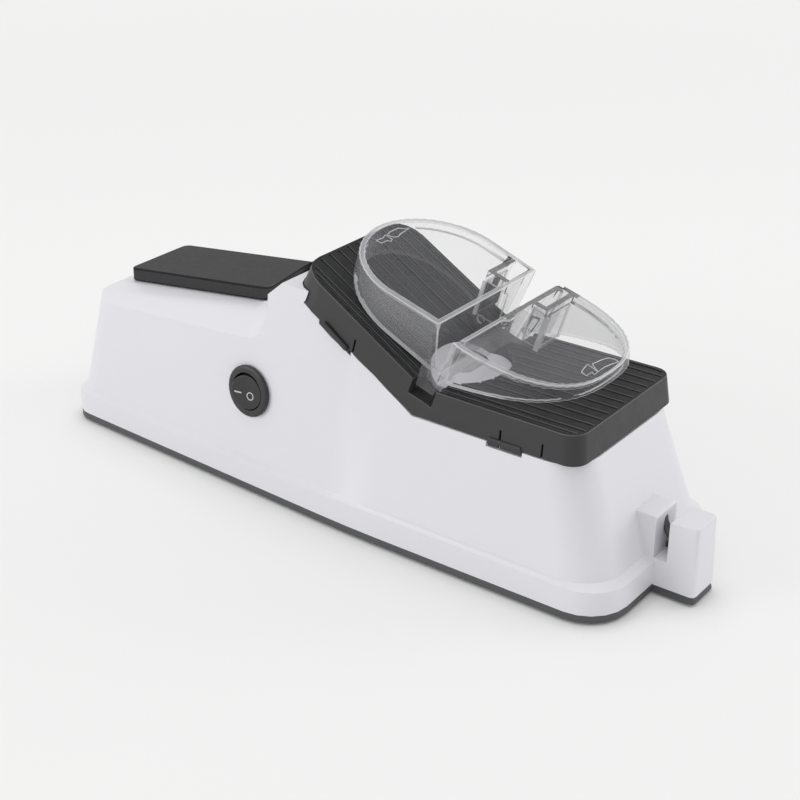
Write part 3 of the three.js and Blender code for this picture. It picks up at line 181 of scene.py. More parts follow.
def roundBar(name, places, radius, closed=False, handles="VECTOR", stepsAlong=5, stepsRound=2):
    # a round bar along a line of points
    bpy.ops.curve.primitive_bezier_curve_add(location=(0, 0, 0))
    bar = bpy.context.object
    bar.name = name
    spline = bar.data.splines[0]
    spline.bezier_points.add(len(places) - 2)
    for knot, place in zip(spline.bezier_points, places):
        knot.co = place
        knot.handle_left_type = knot.handle_right_type = handles
    spline.use_cyclic_u = closed
    bar.data.dimensions = "3D"
    bar.data.resolution_u = stepsAlong
    bar.data.bevel_depth = radius
    bar.data.bevel_resolution = stepsRound
    bar.data.use_fill_caps = not closed
    onlySelect(bar)
    bpy.ops.object.convert(target="MESH")
    return bpy.context.object


def joinPieces(name, pieces):
    onlySelect(pieces[0])
    for piece in pieces[1:]:
        piece.select_set(True)
    bpy.ops.object.join()
    joined = bpy.context.object
    joined.name = name
    joined.data.name = name
    return joined


def giveMaterials(piece, materials, pick=None):
    # pick gives the slot for each face; without it all faces take the first
    slots = [pick(face) if pick else 0 for face in piece.data.polygons]
    piece.data.materials.clear()
    for material in materials:
        piece.data.materials.append(material)
    for face, slot in zip(piece.data.polygons, slots):
        face.material_index = slot


def finishPiece(piece, body, nodes=()):
    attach(piece, body)
    if nodes:
        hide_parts(*nodes)


def addNode(tree, kind, values=None, **settings):
    # one shader node; its settings come before the values of its inputs
    node = tree.nodes.new("ShaderNode" + kind)
    for setting, value in settings.items():
        setattr(node, setting, value)
    for socket, value in (values or {}).items():
        node.inputs[socket].default_value = value
    return node


def wire(tree, *wires):
    # each wire has a node and its output, then the node and the input that it feeds
    for source, output, target, socket in wires:
        tree.links.new(source.outputs[output], target.inputs[socket])


def newGroup(name, inputs, outputs):
    group = bpy.data.node_groups.new(name, "ShaderNodeTree")
    for socketName, kind, value in inputs:
        socket = group.interface.new_socket(socketName, in_out="INPUT", socket_type="NodeSocket" + kind)
        if value is not None:
            socket.default_value = value
    for socketName, kind in outputs:
        group.interface.new_socket(socketName, in_out="OUTPUT", socket_type="NodeSocket" + kind)
    return group, group.nodes.new("NodeGroupInput"), group.nodes.new("NodeGroupOutput")


def makeMouldedGrain():
    # fine spark-eroded grain, as a normal and a mask
    group, start, end = newGroup(
        "mouldedGrain",
        [("Scale", "Float", 1600.0), ("Strength", "Float", 0.2), ("Depth", "Float", 0.00005)],
        [("Normal", "Vector"), ("Mask", "Float")])
    coords = addNode(group, "TexCoord")
    noise = addNode(group, "TexNoise", {"Detail": 4.0, "Roughness": 0.62})
    cells = addNode(group, "TexVoronoi")
    blend = addNode(group, "Math", {1: 0.35}, operation="MULTIPLY_ADD")  # the cells' share
    bump = addNode(group, "Bump")
    wire(group,
         (coords, "Object", noise, "Vector"), (start, "Scale", noise, "Scale"),
         (coords, "Object", cells, "Vector"), (start, "Scale", cells, "Scale"),
         (cells, "Distance", blend, 0), (noise, "Fac", blend, 2),
         (blend, "Value", bump, "Height"), (start, "Strength", bump, "Strength"),
         (start, "Depth", bump, "Distance"),
         (bump, "Normal", end, "Normal"), (blend, "Value", end, "Mask"))
    return group


def makeFlowShade():
    # slow changes of tone and gloss, from the melt's flow and from handling
    group, start, end = newGroup(
        "flowShade",
        [("Color", "Color", (0.5, 0.5, 0.5, 1)), ("Tone", "Float", 0.03), ("Roughness", "Float", 0.4),
         ("Spread", "Float", 0.06), ("Scale", "Float", 18.0)],
        [("Color", "Color"), ("Roughness", "Float")])
    middle = {"From Min": 0.3, "From Max": 0.7}  # noise seldom leaves this range
    coords = addNode(group, "TexCoord")
    slow = addNode(group, "TexNoise", {"Detail": 3.0})
    fine = addNode(group, "TexNoise", {"Detail": 6.0})
    fineScale = addNode(group, "Math", {1: 11.0}, operation="MULTIPLY")  # gloss changes faster than tone
    tone = addNode(group, "MapRange", middle)
    low = addNode(group, "Math", {0: 1.0}, operation="SUBTRACT")
    high = addNode(group, "Math", {0: 1.0}, operation="ADD")
    shade = addNode(group, "VectorMath", operation="SCALE")
    gloss = addNode(group, "MapRange", middle)
    dull = addNode(group, "Math", operation="ADD")
    wire(group,
         (coords, "Object", slow, "Vector"), (start, "Scale", slow, "Scale"),
         (start, "Scale", fineScale, 0), (coords, "Object", fine, "Vector"),
         (fineScale, "Value", fine, "Scale"),
         (start, "Tone", low, 1), (start, "Tone", high, 1), (slow, "Fac", tone, "Value"),
         (low, "Value", tone, "To Min"), (high, "Value", tone, "To Max"),
         (start, "Color", shade, 0), (tone, "Result", shade, "Scale"),
         (start, "Roughness", dull, 0), (start, "Spread", dull, 1), (fine, "Fac", gloss, "Value"),
         (start, "Roughness", gloss, "To Min"), (dull, "Value", gloss, "To Max"),
         (shade, "Vector", end, "Color"), (gloss, "Result", end, "Roughness"))
    return group


def makeSettledDust():
    # a thin film of dust on what faces up, broken by noise
    group, start, end = newGroup(
        "settledDust",
        [("Color", "Color", (0.5, 0.5, 0.5, 1)), ("Dust", "Color", (0.6, 0.6, 0.58, 1)),
         ("Amount", "Float", 0.05), ("Scale", "Float", 90.0)],
        [("Color", "Color"), ("Mask", "Float")])
    coords = addNode(group, "TexCoord")
    geometry = addNode(group, "NewGeometry")
    split = addNode(group, "SeparateXYZ")
    upward = addNode(group, "MapRange", {"From Min": 0.35, "From Max": 0.95})
    noise = addNode(group, "TexNoise", {"Detail": 8.0, "Roughness": 0.7})
    broken = addNode(group, "MapRange", {"From Min": 0.35, "From Max": 0.75})
    both = addNode(group, "Math", operation="MULTIPLY")
    share = addNode(group, "Math", operation="MULTIPLY")
    mix = addNode(group, "Mix", data_type="RGBA")
    wire(group,
         (geometry, "Normal", split, "Vector"), (split, "Z", upward, "Value"),
         (coords, "Object", noise, "Vector"), (start, "Scale", noise, "Scale"),
         (noise, "Fac", broken, "Value"),
         (upward, "Result", both, 0), (broken, "Result", both, 1),
         (both, "Value", share, 0), (start, "Amount", share, 1),
         (share, "Value", mix, "Factor"), (start, "Color", mix, "A"), (start, "Dust", mix, "B"),
         (mix, "Result", end, "Color"), (share, "Value", end, "Mask"))
    return group


def makeScuffs():
    # sparse hairline scuffs, as a mask and a normal
    group, start, end = newGroup(
        "hairScuffs",
        [("Scale", "Float", 60.0), ("Amount", "Float", 0.3), ("Normal", "Vector", None)],
        [("Mask", "Float"), ("Normal", "Vector")])
    coords = addNode(group, "TexCoord")
    stretch = addNode(group, "Mapping", {"Rotation": (0.3, 0.2, 0.7), "Scale": (1.0, 14.0, 3.0)})
    noise = addNode(group, "TexNoise", {"Detail": 5.0})
    line = addNode(group, "MapRange", {"From Min": 0.68, "From Max": 0.74})
    share = addNode(group, "Math", operation="MULTIPLY")
    bump = addNode(group, "Bump", {"Strength": 0.08, "Distance": 0.00003})
    wire(group,
         (coords, "Object", stretch, "Vector"), (stretch, "Vector", noise, "Vector"),
         (start, "Scale", noise, "Scale"), (noise, "Fac", line, "Value"),
         (line, "Result", share, 0), (start, "Amount", share, 1),
         (share, "Value", bump, "Height"), (start, "Normal", bump, "Normal"),
         (share, "Value", end, "Mask"), (bump, "Normal", end, "Normal"))
    return group


mouldedGrain = makeMouldedGrain()
flowShade = makeFlowShade()
settledDust = makeSettledDust()
hairScuffs = makeScuffs()
print("stage: shared effects")


def newMaterial(name):
    material = bpy.data.materials.new(name)
    material.use_nodes = True
    return material, material.node_tree, material.node_tree.nodes["Principled BSDF"]


def addSurface(tree, shader, look, bumps):
    # tone, grain or waves, and scuffs, as each moulded surface has them
    shade = addNode(tree, "Group", {
        "Color": (*look["colour"], 1), "Tone": look["tone"], "Roughness": look["roughness"],
        "Spread": look["spread"], "Scale": look["flowScale"]}, node_tree=flowShade)
    grain = addNode(tree, "Group", {
        "Scale": look[bumps + "Scale"], "Strength": look[bumps + "Strength"],
        "Depth": look[bumps + "Depth"]}, node_tree=mouldedGrain)
    scuffs = addNode(tree, "Group", {
        "Scale": look["scuffScale"], "Amount": look["scuffAmount"]}, node_tree=hairScuffs)
    wire(tree, (grain, "Normal", scuffs, "Normal"), (scuffs, "Normal", shader, "Normal"))
    return shade, scuffs


def plasticMaterial(name, look):
    # plastics, and with metallic set the metals too
    material, tree, shader = newMaterial(name)
    shader.inputs["Specular IOR Level"].default_value = look.get("specular", 0.5)
    shader.inputs["Metallic"].default_value = look.get("metallic", 0.0)
    shade, scuffs = addSurface(tree, shader, look, "grain")
    dust = addNode(tree, "Group", {
        "Dust": (*look["dust"], 1), "Amount": look["dustAmount"],
        "Scale": look["dustScale"]}, node_tree=settledDust)
    roughen = addNode(tree, "Math", {1: 0.12}, operation="MULTIPLY_ADD", use_clamp=True)  # scuffs are duller
    wire(tree,
         (shade, "Color", dust, "Color"), (dust, "Color", shader, "Base Color"),
         (scuffs, "Mask", roughen, 0), (shade, "Roughness", roughen, 2),
         (roughen, "Value", shader, "Roughness"))
    return material


whitePlastic = plasticMaterial("whitePlastic", {
    "colour": (0.735, 0.73, 0.765), "tone": 0.012, "roughness": 0.36, "spread": 0.05, "flowScale": 14.0,
    "dust": (0.62, 0.6, 0.57), "dustAmount": 0.05, "dustScale": 120.0,
    "grainScale": 2600.0, "grainStrength": 0.10, "grainDepth": 0.00003,
    "scuffScale": 70.0, "scuffAmount": 0.2})
coverPlastic = plasticMaterial("coverPlastic", {
    "colour": (0.03, 0.03, 0.032), "tone": 0.05, "roughness": 0.42, "spread": 0.1, "flowScale": 22.0,
    "dust": (0.35, 0.35, 0.34), "dustAmount": 0.05, "dustScale": 240.0,
    "grainScale": 1700.0, "grainStrength": 0.32, "grainDepth": 0.00006,
    "scuffScale": 90.0, "scuffAmount": 0.5, "specular": 0.42})
# the ribbed top: a coarser grain, and a colour darker than the sides as painted shade for its grooves
ribShadePlastic = plasticMaterial("ribShadePlastic", {
    "colour": (0.012, 0.012, 0.013), "tone": 0.08, "roughness": 0.6, "spread": 0.12, "flowScale": 30.0,
    "dust": (0.3, 0.3, 0.29), "dustAmount": 0.03, "dustScale": 300.0,
    "grainScale": 1500.0, "grainStrength": 0.5, "grainDepth": 0.00008,
    "scuffScale": 110.0, "scuffAmount": 0.4, "specular": 0.3})
# the cover's near and front edge strips: a lighter copy of the cover's plastic, a painted highlight
coverEdgeHighlight = plasticMaterial("coverEdgeHighlight", {
    "colour": (0.07, 0.07, 0.073), "tone": 0.1, "roughness": 0.42, "spread": 0.1, "flowScale": 40.0,
    "dust": (0.35, 0.35, 0.34), "dustAmount": 0.05, "dustScale": 240.0,
    "grainScale": 1700.0, "grainStrength": 0.2, "grainDepth": 0.00004,
    "scuffScale": 90.0, "scuffAmount": 0.6})
basePlastic = plasticMaterial("basePlastic", {
    "colour": (0.074, 0.076, 0.079), "tone": 0.05, "roughness": 0.55, "spread": 0.08, "flowScale": 25.0,
    "dust": (0.4, 0.4, 0.38), "dustAmount": 0.03, "dustScale": 200.0,
    "grainScale": 1500.0, "grainStrength": 0.25, "grainDepth": 0.00006,
    "scuffScale": 80.0, "scuffAmount": 0.5})
softPad = plasticMaterial("softPad", {
    "colour": (0.031, 0.031, 0.033), "tone": 0.02, "roughness": 0.72, "spread": 0.06, "flowScale": 30.0,
    "dust": (0.32, 0.32, 0.31), "dustAmount": 0.07, "dustScale": 1400.0,
    "grainScale": 1500.0, "grainStrength": 0.6, "grainDepth": 0.00012,
    "scuffScale": 60.0, "scuffAmount": 0.35, "specular": 0.35})
# the pad's rounded edges: a darker copy of the pad's material, a painted shade line
padEdgeShade = plasticMaterial("padEdgeShade", {
    "colour": (0.014, 0.014, 0.015), "tone": 0.05, "roughness": 0.8, "spread": 0.1, "flowScale": 30.0,
    "dust": (0.3, 0.3, 0.3), "dustAmount": 0.03, "dustScale": 420.0,
    "grainScale": 2300.0, "grainStrength": 0.45, "grainDepth": 0.00008,
    "scuffScale": 60.0, "scuffAmount": 0.35, "specular": 0.2})
switchPlastic = plasticMaterial("switchPlastic", {
    "colour": (0.017, 0.017, 0.019), "tone": 0.05, "roughness": 0.36, "spread": 0.1, "flowScale": 60.0,
    "dust": (0.3, 0.3, 0.3), "dustAmount": 0.05, "dustScale": 500.0,
    "grainScale": 3200.0, "grainStrength": 0.18, "grainDepth": 0.00003,
    "scuffScale": 120.0, "scuffAmount": 0.4})
innerPlastic = plasticMaterial("innerPlastic", {
    "colour": (0.022, 0.022, 0.024), "tone": 0.05, "roughness": 0.42, "spread": 0.1, "flowScale": 40.0,
    "dust": (0.3, 0.3, 0.3), "dustAmount": 0.08, "dustScale": 400.0,
    "grainScale": 2600.0, "grainStrength": 0.2, "grainDepth": 0.00004,
    "scuffScale": 120.0, "scuffAmount": 0.4})
markPaint = plasticMaterial("markPaint", {
    "colour": (0.56, 0.56, 0.555), "tone": 0.03, "roughness": 0.5, "spread": 0.1, "flowScale": 300.0,
    "dust": (0.5, 0.5, 0.5), "dustAmount": 0.05, "dustScale": 900.0,
    "grainScale": 4200.0, "grainStrength": 0.2, "grainDepth": 0.00002,
    "scuffScale": 300.0, "scuffAmount": 0.5})
footRubber = plasticMaterial("footRubber", {
    "colour": (0.02, 0.02, 0.02), "tone": 0.06, "roughness": 0.78, "spread": 0.12, "flowScale": 60.0,
    "dust": (0.3, 0.29, 0.27), "dustAmount": 0.25, "dustScale": 300.0,
    "grainScale": 1800.0, "grainStrength": 0.4, "grainDepth": 0.00008,
    "scuffScale": 120.0, "scuffAmount": 0.5, "specular": 0.3})
rodCeramic = plasticMaterial("rodCeramic", {
    "colour": (0.085, 0.085, 0.088), "tone": 0.05, "roughness": 0.45, "spread": 0.15, "flowScale": 200.0,
    "dust": (0.25, 0.24, 0.23), "dustAmount": 0.3, "dustScale": 500.0,
    "grainScale": 2800.0, "grainStrength": 0.35, "grainDepth": 0.00004,
    "scuffScale": 200.0, "scuffAmount": 0.8})
wheelStone = plasticMaterial("wheelStone", {
    "colour": (0.66, 0.655, 0.66), "tone": 0.08, "roughness": 0.85, "spread": 0.1, "flowScale": 160.0,
    "dust": (0.6, 0.6, 0.6), "dustAmount": 0.3, "dustScale": 1500.0,
    "grainScale": 2100.0, "grainStrength": 0.9, "grainDepth": 0.00018,
    "scuffScale": 200.0, "scuffAmount": 0.6})
zincSteel = plasticMaterial("zincSteel", {
    "colour": (0.56, 0.56, 0.58), "tone": 0.05, "roughness": 0.28, "spread": 0.16, "flowScale": 120.0,
    "dust": (0.4, 0.4, 0.4), "dustAmount": 0.08, "dustScale": 400.0,
    "grainScale": 3000.0, "grainStrength": 0.18, "grainDepth": 0.00003,
    "scuffScale": 160.0, "scuffAmount": 0.9, "metallic": 1.0})
plainBrass = plasticMaterial("plainBrass", {
    "colour": (0.72, 0.52, 0.22), "tone": 0.06, "roughness": 0.26, "spread": 0.16, "flowScale": 160.0,
    "dust": (0.3, 0.22, 0.12), "dustAmount": 0.1, "dustScale": 500.0,
    "grainScale": 3000.0, "grainStrength": 0.15, "grainDepth": 0.00002,
    "scuffScale": 200.0, "scuffAmount": 0.9, "metallic": 1.0})
boardLaminate = plasticMaterial("boardLaminate", {
    "colour": (0.03, 0.14, 0.055), "tone": 0.08, "roughness": 0.3, "spread": 0.12, "flowScale": 90.0,
    "dust": (0.3, 0.3, 0.28), "dustAmount": 0.12, "dustScale": 400.0,
    "grainScale": 1200.0, "grainStrength": 0.25, "grainDepth": 0.00004,
    "scuffScale": 160.0, "scuffAmount": 0.4})
leadCover = plasticMaterial("leadCover", {
    "colour": (0.36, 0.035, 0.025), "tone": 0.06, "roughness": 0.38, "spread": 0.12, "flowScale": 120.0,
    "dust": (0.3, 0.25, 0.25), "dustAmount": 0.08, "dustScale": 500.0,
    "grainScale": 2600.0, "grainStrength": 0.15, "grainDepth": 0.00003,
    "scuffScale": 160.0, "scuffAmount": 0.5})


def clearMaterial(name, look):
    # moulded clear plastic: a grey veil that paints the pane's reflections, denser where the pane turns
    # away, under a hard gloss
    material, tree, shader = newMaterial(name)
    shader.inputs["Metallic"].default_value = 0.0
    shader.inputs["IOR"].default_value = look["ior"]
    shade = addSurface(tree, shader, look, "wave")[0]
    turned = addNode(tree, "LayerWeight", {"Blend": 0.35})
    veil = addNode(tree, "MapRange", {"To Min": look["veil"], "To Max": look["edgeVeil"]})
    wire(tree,
         (turned, "Facing", veil, "Value"), (veil, "Result", shader, "Alpha"),
         (shade, "Color", shader, "Base Color"), (shade, "Roughness", shader, "Roughness"))
    return material


# the veils, painted reflection, differ by part: walls denser than roofs, the middle walls and some outer
# walls fainter, the front roof denser than the rear
clearRoof = clearMaterial("clearRoof", {
    "colour": (0.5, 0.5, 0.53), "veil": 0.025, "edgeVeil": 0.12, "ior": 1.36,
    "tone": 0.02, "roughness": 0.03, "spread": 0.04, "flowScale": 40.0,
    "waveScale": 60.0, "waveStrength": 0.04, "waveDepth": 0.0003,
    "scuffScale": 90.0, "scuffAmount": 0.5})
clearWall = clearMaterial("clearWall", {
    "colour": (0.46, 0.46, 0.485), "veil": 0.16, "edgeVeil": 0.36, "ior": 1.42,
    "tone": 0.05, "roughness": 0.06, "spread": 0.03, "flowScale": 40.0,
    "waveScale": 50.0, "waveStrength": 0.03, "waveDepth": 0.0003,
    "scuffScale": 90.0, "scuffAmount": 0.5})
clearMiddle = clearMaterial("clearMiddle", {
    "colour": (0.42, 0.42, 0.44), "veil": 0.05, "edgeVeil": 0.3, "ior": 1.4,
    "tone": 0.05, "roughness": 0.05, "spread": 0.05, "flowScale": 40.0,
    "waveScale": 70.0, "waveStrength": 0.06, "waveDepth": 0.0004,
    "scuffScale": 90.0, "scuffAmount": 0.5})
clearRoofFront = clearMaterial("clearRoofFront", {
    "colour": (0.5, 0.5, 0.53), "veil": 0.07, "edgeVeil": 0.16, "ior": 1.36,
    "tone": 0.02, "roughness": 0.03, "spread": 0.04, "flowScale": 40.0,
    "waveScale": 60.0, "waveStrength": 0.03, "waveDepth": 0.0003,
    "scuffScale": 90.0, "scuffAmount": 0.5})
clearFaintVeil = clearMaterial("clearFaintVeil", {
    "colour": (0.46, 0.46, 0.48), "veil": 0.03, "edgeVeil": 0.2, "ior": 1.4,
    "tone": 0.06, "roughness": 0.06, "spread": 0.05, "flowScale": 40.0,
    "waveScale": 70.0, "waveStrength": 0.05, "waveDepth": 0.0004,
    "scuffScale": 90.0, "scuffAmount": 0.5})
# painted light and shade for the guide's rims: a pale band and a dark grey band
rimPaintedLight = clearMaterial("rimPaintedLight", {
    "colour": (0.42, 0.42, 0.435), "veil": 0.62, "edgeVeil": 0.8, "ior": 1.49,
    "tone": 0.2, "roughness": 0.14, "spread": 0.06, "flowScale": 60.0,
    "waveScale": 90.0, "waveStrength": 0.06, "waveDepth": 0.0003,
    "scuffScale": 90.0, "scuffAmount": 0.4})
rimPaintedShade = clearMaterial("rimPaintedShade", {
    "colour": (0.13, 0.13, 0.135), "veil": 0.85, "edgeVeil": 0.95, "ior": 1.4,
    "tone": 0.12, "roughness": 0.25, "spread": 0.06, "flowScale": 60.0,
    "waveScale": 90.0, "waveStrength": 0.06, "waveDepth": 0.0003,
    "scuffScale": 90.0, "scuffAmount": 0.4})
# the pale strips on the guide's edges, marks and hooks: a painted highlight
paintedEdgeHighlight = clearMaterial("paintedEdgeHighlight", {
    "colour": (0.74, 0.74, 0.76), "veil": 0.6, "edgeVeil": 0.85, "ior": 1.49,
    "tone": 0.1, "roughness": 0.1, "spread": 0.06, "flowScale": 80.0,
    "waveScale": 120.0, "waveStrength": 0.08, "waveDepth": 0.0003,
    "scuffScale": 120.0, "scuffAmount": 0.4})
# the pocket posts: a pale, dense veil, painted light
postPaintedLight = clearMaterial("postPaintedLight", {
    "colour": (0.84, 0.84, 0.86), "veil": 0.6, "edgeVeil": 0.72, "ior": 1.45,
    "tone": 0.1, "roughness": 0.2, "spread": 0.06, "flowScale": 90.0,
    "waveScale": 120.0, "waveStrength": 0.06, "waveDepth": 0.0003,
    "scuffScale": 120.0, "scuffAmount": 0.4})
print("stage: materials")

caseLook = {"shadeAngle": 40}
bodyShell = copyOfNode("body_shell", "bodyShell")
smoothShade(bodyShell, caseLook["shadeAngle"])
giveMaterials(bodyShell, [whitePlastic])
finishPiece(bodyShell, "case", ["body_shell"])

baseLook = {"edgeWidth": 0.0003, "edgeSegments": 2}
basePlate = copyOfNode("base_plate", "basePlate")
bevelEdges(basePlate, baseLook)
smoothShade(basePlate)
giveMaterials(basePlate, [basePlastic])
finishPiece(basePlate, "case", ["base_plate"])

padLook = {"edgeWidth": 0.0006, "edgeSegments": 3}
handPad = copyOfNode("hand_pad", "handPad")
# the pad's bevel strips take the darker copy, a painted shade line
giveMaterials(handPad, [softPad, padEdgeShade])
bevelEdges(handPad, padLook, stripSlot=1)
smoothShade(handPad)
finishPiece(handPad, "case", ["hand_pad"])
print("stage: case and pad")

# lengths in metres; a normal's part above ribUp or lit counts as facing that way
coverLook = {"edgeWidth": 0.00022, "edgeSegments": 2, "ribRim": 0.003, "ribUp": 0.45, "lit": 0.3}
coverParts = [coverPlastic, ribShadePlastic, coverEdgeHighlight]
sideSlot, ribSlot, litSlot = range(len(coverParts))
topCover = copyOfNode("top_cover", "topCover")
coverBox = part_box("top_cover")
giveMaterials(topCover, coverParts)
bevelEdges(topCover, coverLook, stripSlot=litSlot)
smoothShade(topCover)


def coverSlot(face):
    # smooth sides, ribbed top in painted shade, and on the near side and the front the edges in a painted
    # highlight
    normal, place = face.normal, face.center
    if face.material_index == litSlot and normal.z > coverLook["lit"]:
        front = place.x > coverBox[1][0] - coverLook["ribRim"] and normal.x > coverLook["lit"]
        if normal.y < -coverLook["lit"] or front:
            return litSlot
    # the ribbed top takes the darker copy, painted shade
    ribbed = normal.z > coverLook["ribUp"] and abs(place.y) < coverBox[1][1] - coverLook["ribRim"]
    return ribSlot if ribbed else sideSlot


giveMaterials(topCover, coverParts, coverSlot)
finishPiece(topCover, "cover", ["top_cover"])

# snap tabs: small rounded bars that stand proud of the cover's lower edge, on both sides
tabLook = {
    "size": (11.5, 1.3, 1.7), "y": 29.3, "places": ((127.2, 66.4, -34.8), (191.6, 48.3, 0.0)),
    "edgeWidth": 0.0005, "edgeSegments": 3, "edgeAngle": 30}
tabs = []
for x, z, lean in tabLook["places"]:
    for side in (-1, 1):
        tab = addBlock("snapTab", spot(x, side * tabLook["y"], z), math.radians(-lean), tabLook["size"])
        bevelEdges(tab, tabLook)
        tabs.append(tab)
snapTabs = joinPieces("snapTabs", tabs)
smoothShade(snapTabs)
giveMaterials(snapTabs, [coverPlastic])
finishPiece(snapTabs, "cover")

guardLook = {"edgeWidth": 0.0004, "edgeSegments": 3}
wheelGuard = copyOfNode("wheel_guard", "wheelGuard")
bevelEdges(wheelGuard, guardLook)
smoothShade(wheelGuard)
giveMaterials(wheelGuard, [whitePlastic])
finishPiece(wheelGuard, "case", ["wheel_guard"])
print("stage: cover")

# the guide leans forward; its own frame has u along, y across and w up, in millimetres from the middle
# of its top. Edges and the core are in metres, and facing and across are parts of a normal
guideLook = {
    "x": 167.2, "z": 78.0, "lean": 17.5, "edgeWidth": 0.00034, "edgeSegments": 3,
    "roofLow": -1.2, "ceilingLow": -4.0, "facing": 0.97, "coreBelow": 0.0006, "coreHeight": 0.006,
    "footBelow": -8.0, "footFacing": 0.6, "legBelow": -12.0, "legHalf": 5.6,
    "quietBelow": -3.0, "quietFrom": -18.0, "across": 0.7, "acrossFrom": -12.0, "acrossTo": 14.0,
    "cornerTo": -25.6, "cornerHalf": 12.0, "nearTo": -3.0, "pocketFrom": 11.0, "pocketTo": 25.2,
    "rearPocketFrom": -12.4, "rearPocketTo": -3.9, "slotRimTo": 8.3, "frontPocketTo": 14.2}
guideTurn = math.radians(guideLook["lean"])
guideAlong = Vector((math.cos(guideTurn), 0, -math.sin(guideTurn)))
guideUp = Vector((math.sin(guideTurn), 0, math.cos(guideTurn)))
guideMiddle = spot(guideLook["x"], 0, guideLook["z"])


def onGuide(u, y, w):
    return guideMiddle + (guideAlong * u + Vector((0, y, 0)) + guideUp * w) / 1000


def inGuide(place):
    away = place - guideMiddle
    return Vector((away.dot(guideAlong), away.y, away.dot(guideUp))) * 1000


def roofFace(face):
    facing = face.normal.dot(guideUp) > guideLook["facing"]
    return facing and inGuide(face.center).z > guideLook["roofLow"]


def ceilingFace(face):
    facing = face.normal.dot(guideUp) < -guideLook["facing"]
    return facing and inGuide(face.center).z > guideLook["ceilingLow"]


# the ceilings, drawn up through the roofs, part the clear panes from the walls and their rims
knifeGuide = copyOfNode("knife_guide", "knifeGuide")
selectFaces(knifeGuide, ceilingFace)
bpy.ops.mesh.duplicate()
bpy.ops.mesh.separate(type="SELECTED")
bpy.ops.object.mode_set(mode="OBJECT")
core = [piece for piece in bpy.context.selected_objects if piece is not knifeGuide][0]
editAll(core)
bpy.ops.transform.translate(value=guideUp * -guideLook["coreBelow"])
bpy.ops.mesh.extrude_region_move(TRANSFORM_OT_translate={"value": guideUp * guideLook["coreHeight"]})
bpy.ops.mesh.select_all(action="SELECT")
bpy.ops.mesh.normals_make_consistent(inside=False)
bpy.ops.object.mode_set(mode="OBJECT")
guidePanes = knifeGuide.copy()
guidePanes.data = knifeGuide.data.copy()
guidePanes.name = guidePanes.data.name = "guidePanes"
bpy.context.scene.collection.objects.link(guidePanes)
cutWith(guidePanes, core, "INTERSECT")
cutWith(knifeGuide, core, "DIFFERENCE")
bpy.data.objects.remove(core)

# the rims are parted where their painted light and painted shade change
for border in ("cornerTo", "nearTo", "pocketFrom", "pocketTo"):
    splitAcross(knifeGuide, onGuide(0, guideLook[border], 0), (0, 1, 0))
for border in ("rearPocketFrom", "rearPocketTo", "slotRimTo", "frontPocketTo"):
    splitAcross(knifeGuide, onGuide(guideLook[border], 0, 0), guideAlong)

# outer walls, rims in painted light, rims in painted shade, edges with a painted highlight, walls in the
# middle, and walls with a fainter painted reflection
guideParts = [clearWall, rimPaintedLight, rimPaintedShade, paintedEdgeHighlight, clearMiddle, clearFaintVeil]
wallSlot, litRimSlot, shadedRimSlot, highlightSlot, middleSlot, faintVeilSlot = range(len(guideParts))


def shadedRim(u, y):
    # painted shade round both pockets, and along the front lobe's edge at the knife slot
    look = guideLook
    if u > 0:
        slotRim = u < look["slotRimTo"] and y > look["nearTo"]
        return slotRim or (u < look["frontPocketTo"] and y > look["pocketFrom"])
    return look["rearPocketFrom"] < u < look["rearPocketTo"] and look["pocketFrom"] < y < look["pocketTo"]


def guideSlot(face):
    look = guideLook
    u, y, w = inGuide(face.center)
    across = abs(face.normal.dot(guideAlong)) > look["across"]
    # the near feet take the painted edge highlight
    if face.normal.dot(guideUp) < -look["footFacing"] and w < look["footBelow"]:  # the walls' lower ends
        return highlightSlot if y < look["nearTo"] and abs(u) > look["legHalf"] else middleSlot
    # roof rims: painted shade in the shaded rims, painted light elsewhere
    if roofFace(face):
        return shadedRimSlot if shadedRim(u, y) else litRimSlot
    if abs(u) < look["legHalf"] and w < look["legBelow"]:
        return middleSlot
    # the near corner walls by the knife slot take the painted edge highlight
    if across and y < look["cornerTo"] and abs(u) < look["cornerHalf"]:  # the near corners by the knife slot
        return highlightSlot
    if across and look["acrossFrom"] < u < look["acrossTo"]:
        return middleSlot
    # outer walls in two opposite corners take a fainter veil: less painted reflection
    return faintVeilSlot if (u > 0) != (y > 0) else wallSlot


def quietSlot(face):
    # after the bevel only some painted edge highlights stay: in the shaded rims they take the painted shade,
    # far and low ones the middle walls' veil
    look = guideLook
    u, y, w = inGuide(face.center)
    if face.material_index != highlightSlot:
        return face.material_index
    if w > look["quietBelow"]:
        return shadedRimSlot if shadedRim(u, y) else highlightSlot
    if y > look["quietFrom"] or (abs(u) < look["legHalf"] and w < look["legBelow"]):
        return middleSlot
    return highlightSlot


giveMaterials(knifeGuide, guideParts, guideSlot)
# the bevel's new strips take the painted edge highlight
bevelEdges(knifeGuide, guideLook, stripSlot=highlightSlot)
giveMaterials(knifeGuide, guideParts, quietSlot)
smoothShade(knifeGuide)
finishPiece(knifeGuide, "cover", ["knife_guide"])
smoothShade(guidePanes)
# the front roof takes a denser veil than the rear: more painted reflection
giveMaterials(guidePanes, [clearRoof, clearRoofFront], lambda face: int(inGuide(face.center).x > 0))
finishPiece(guidePanes, "cover")

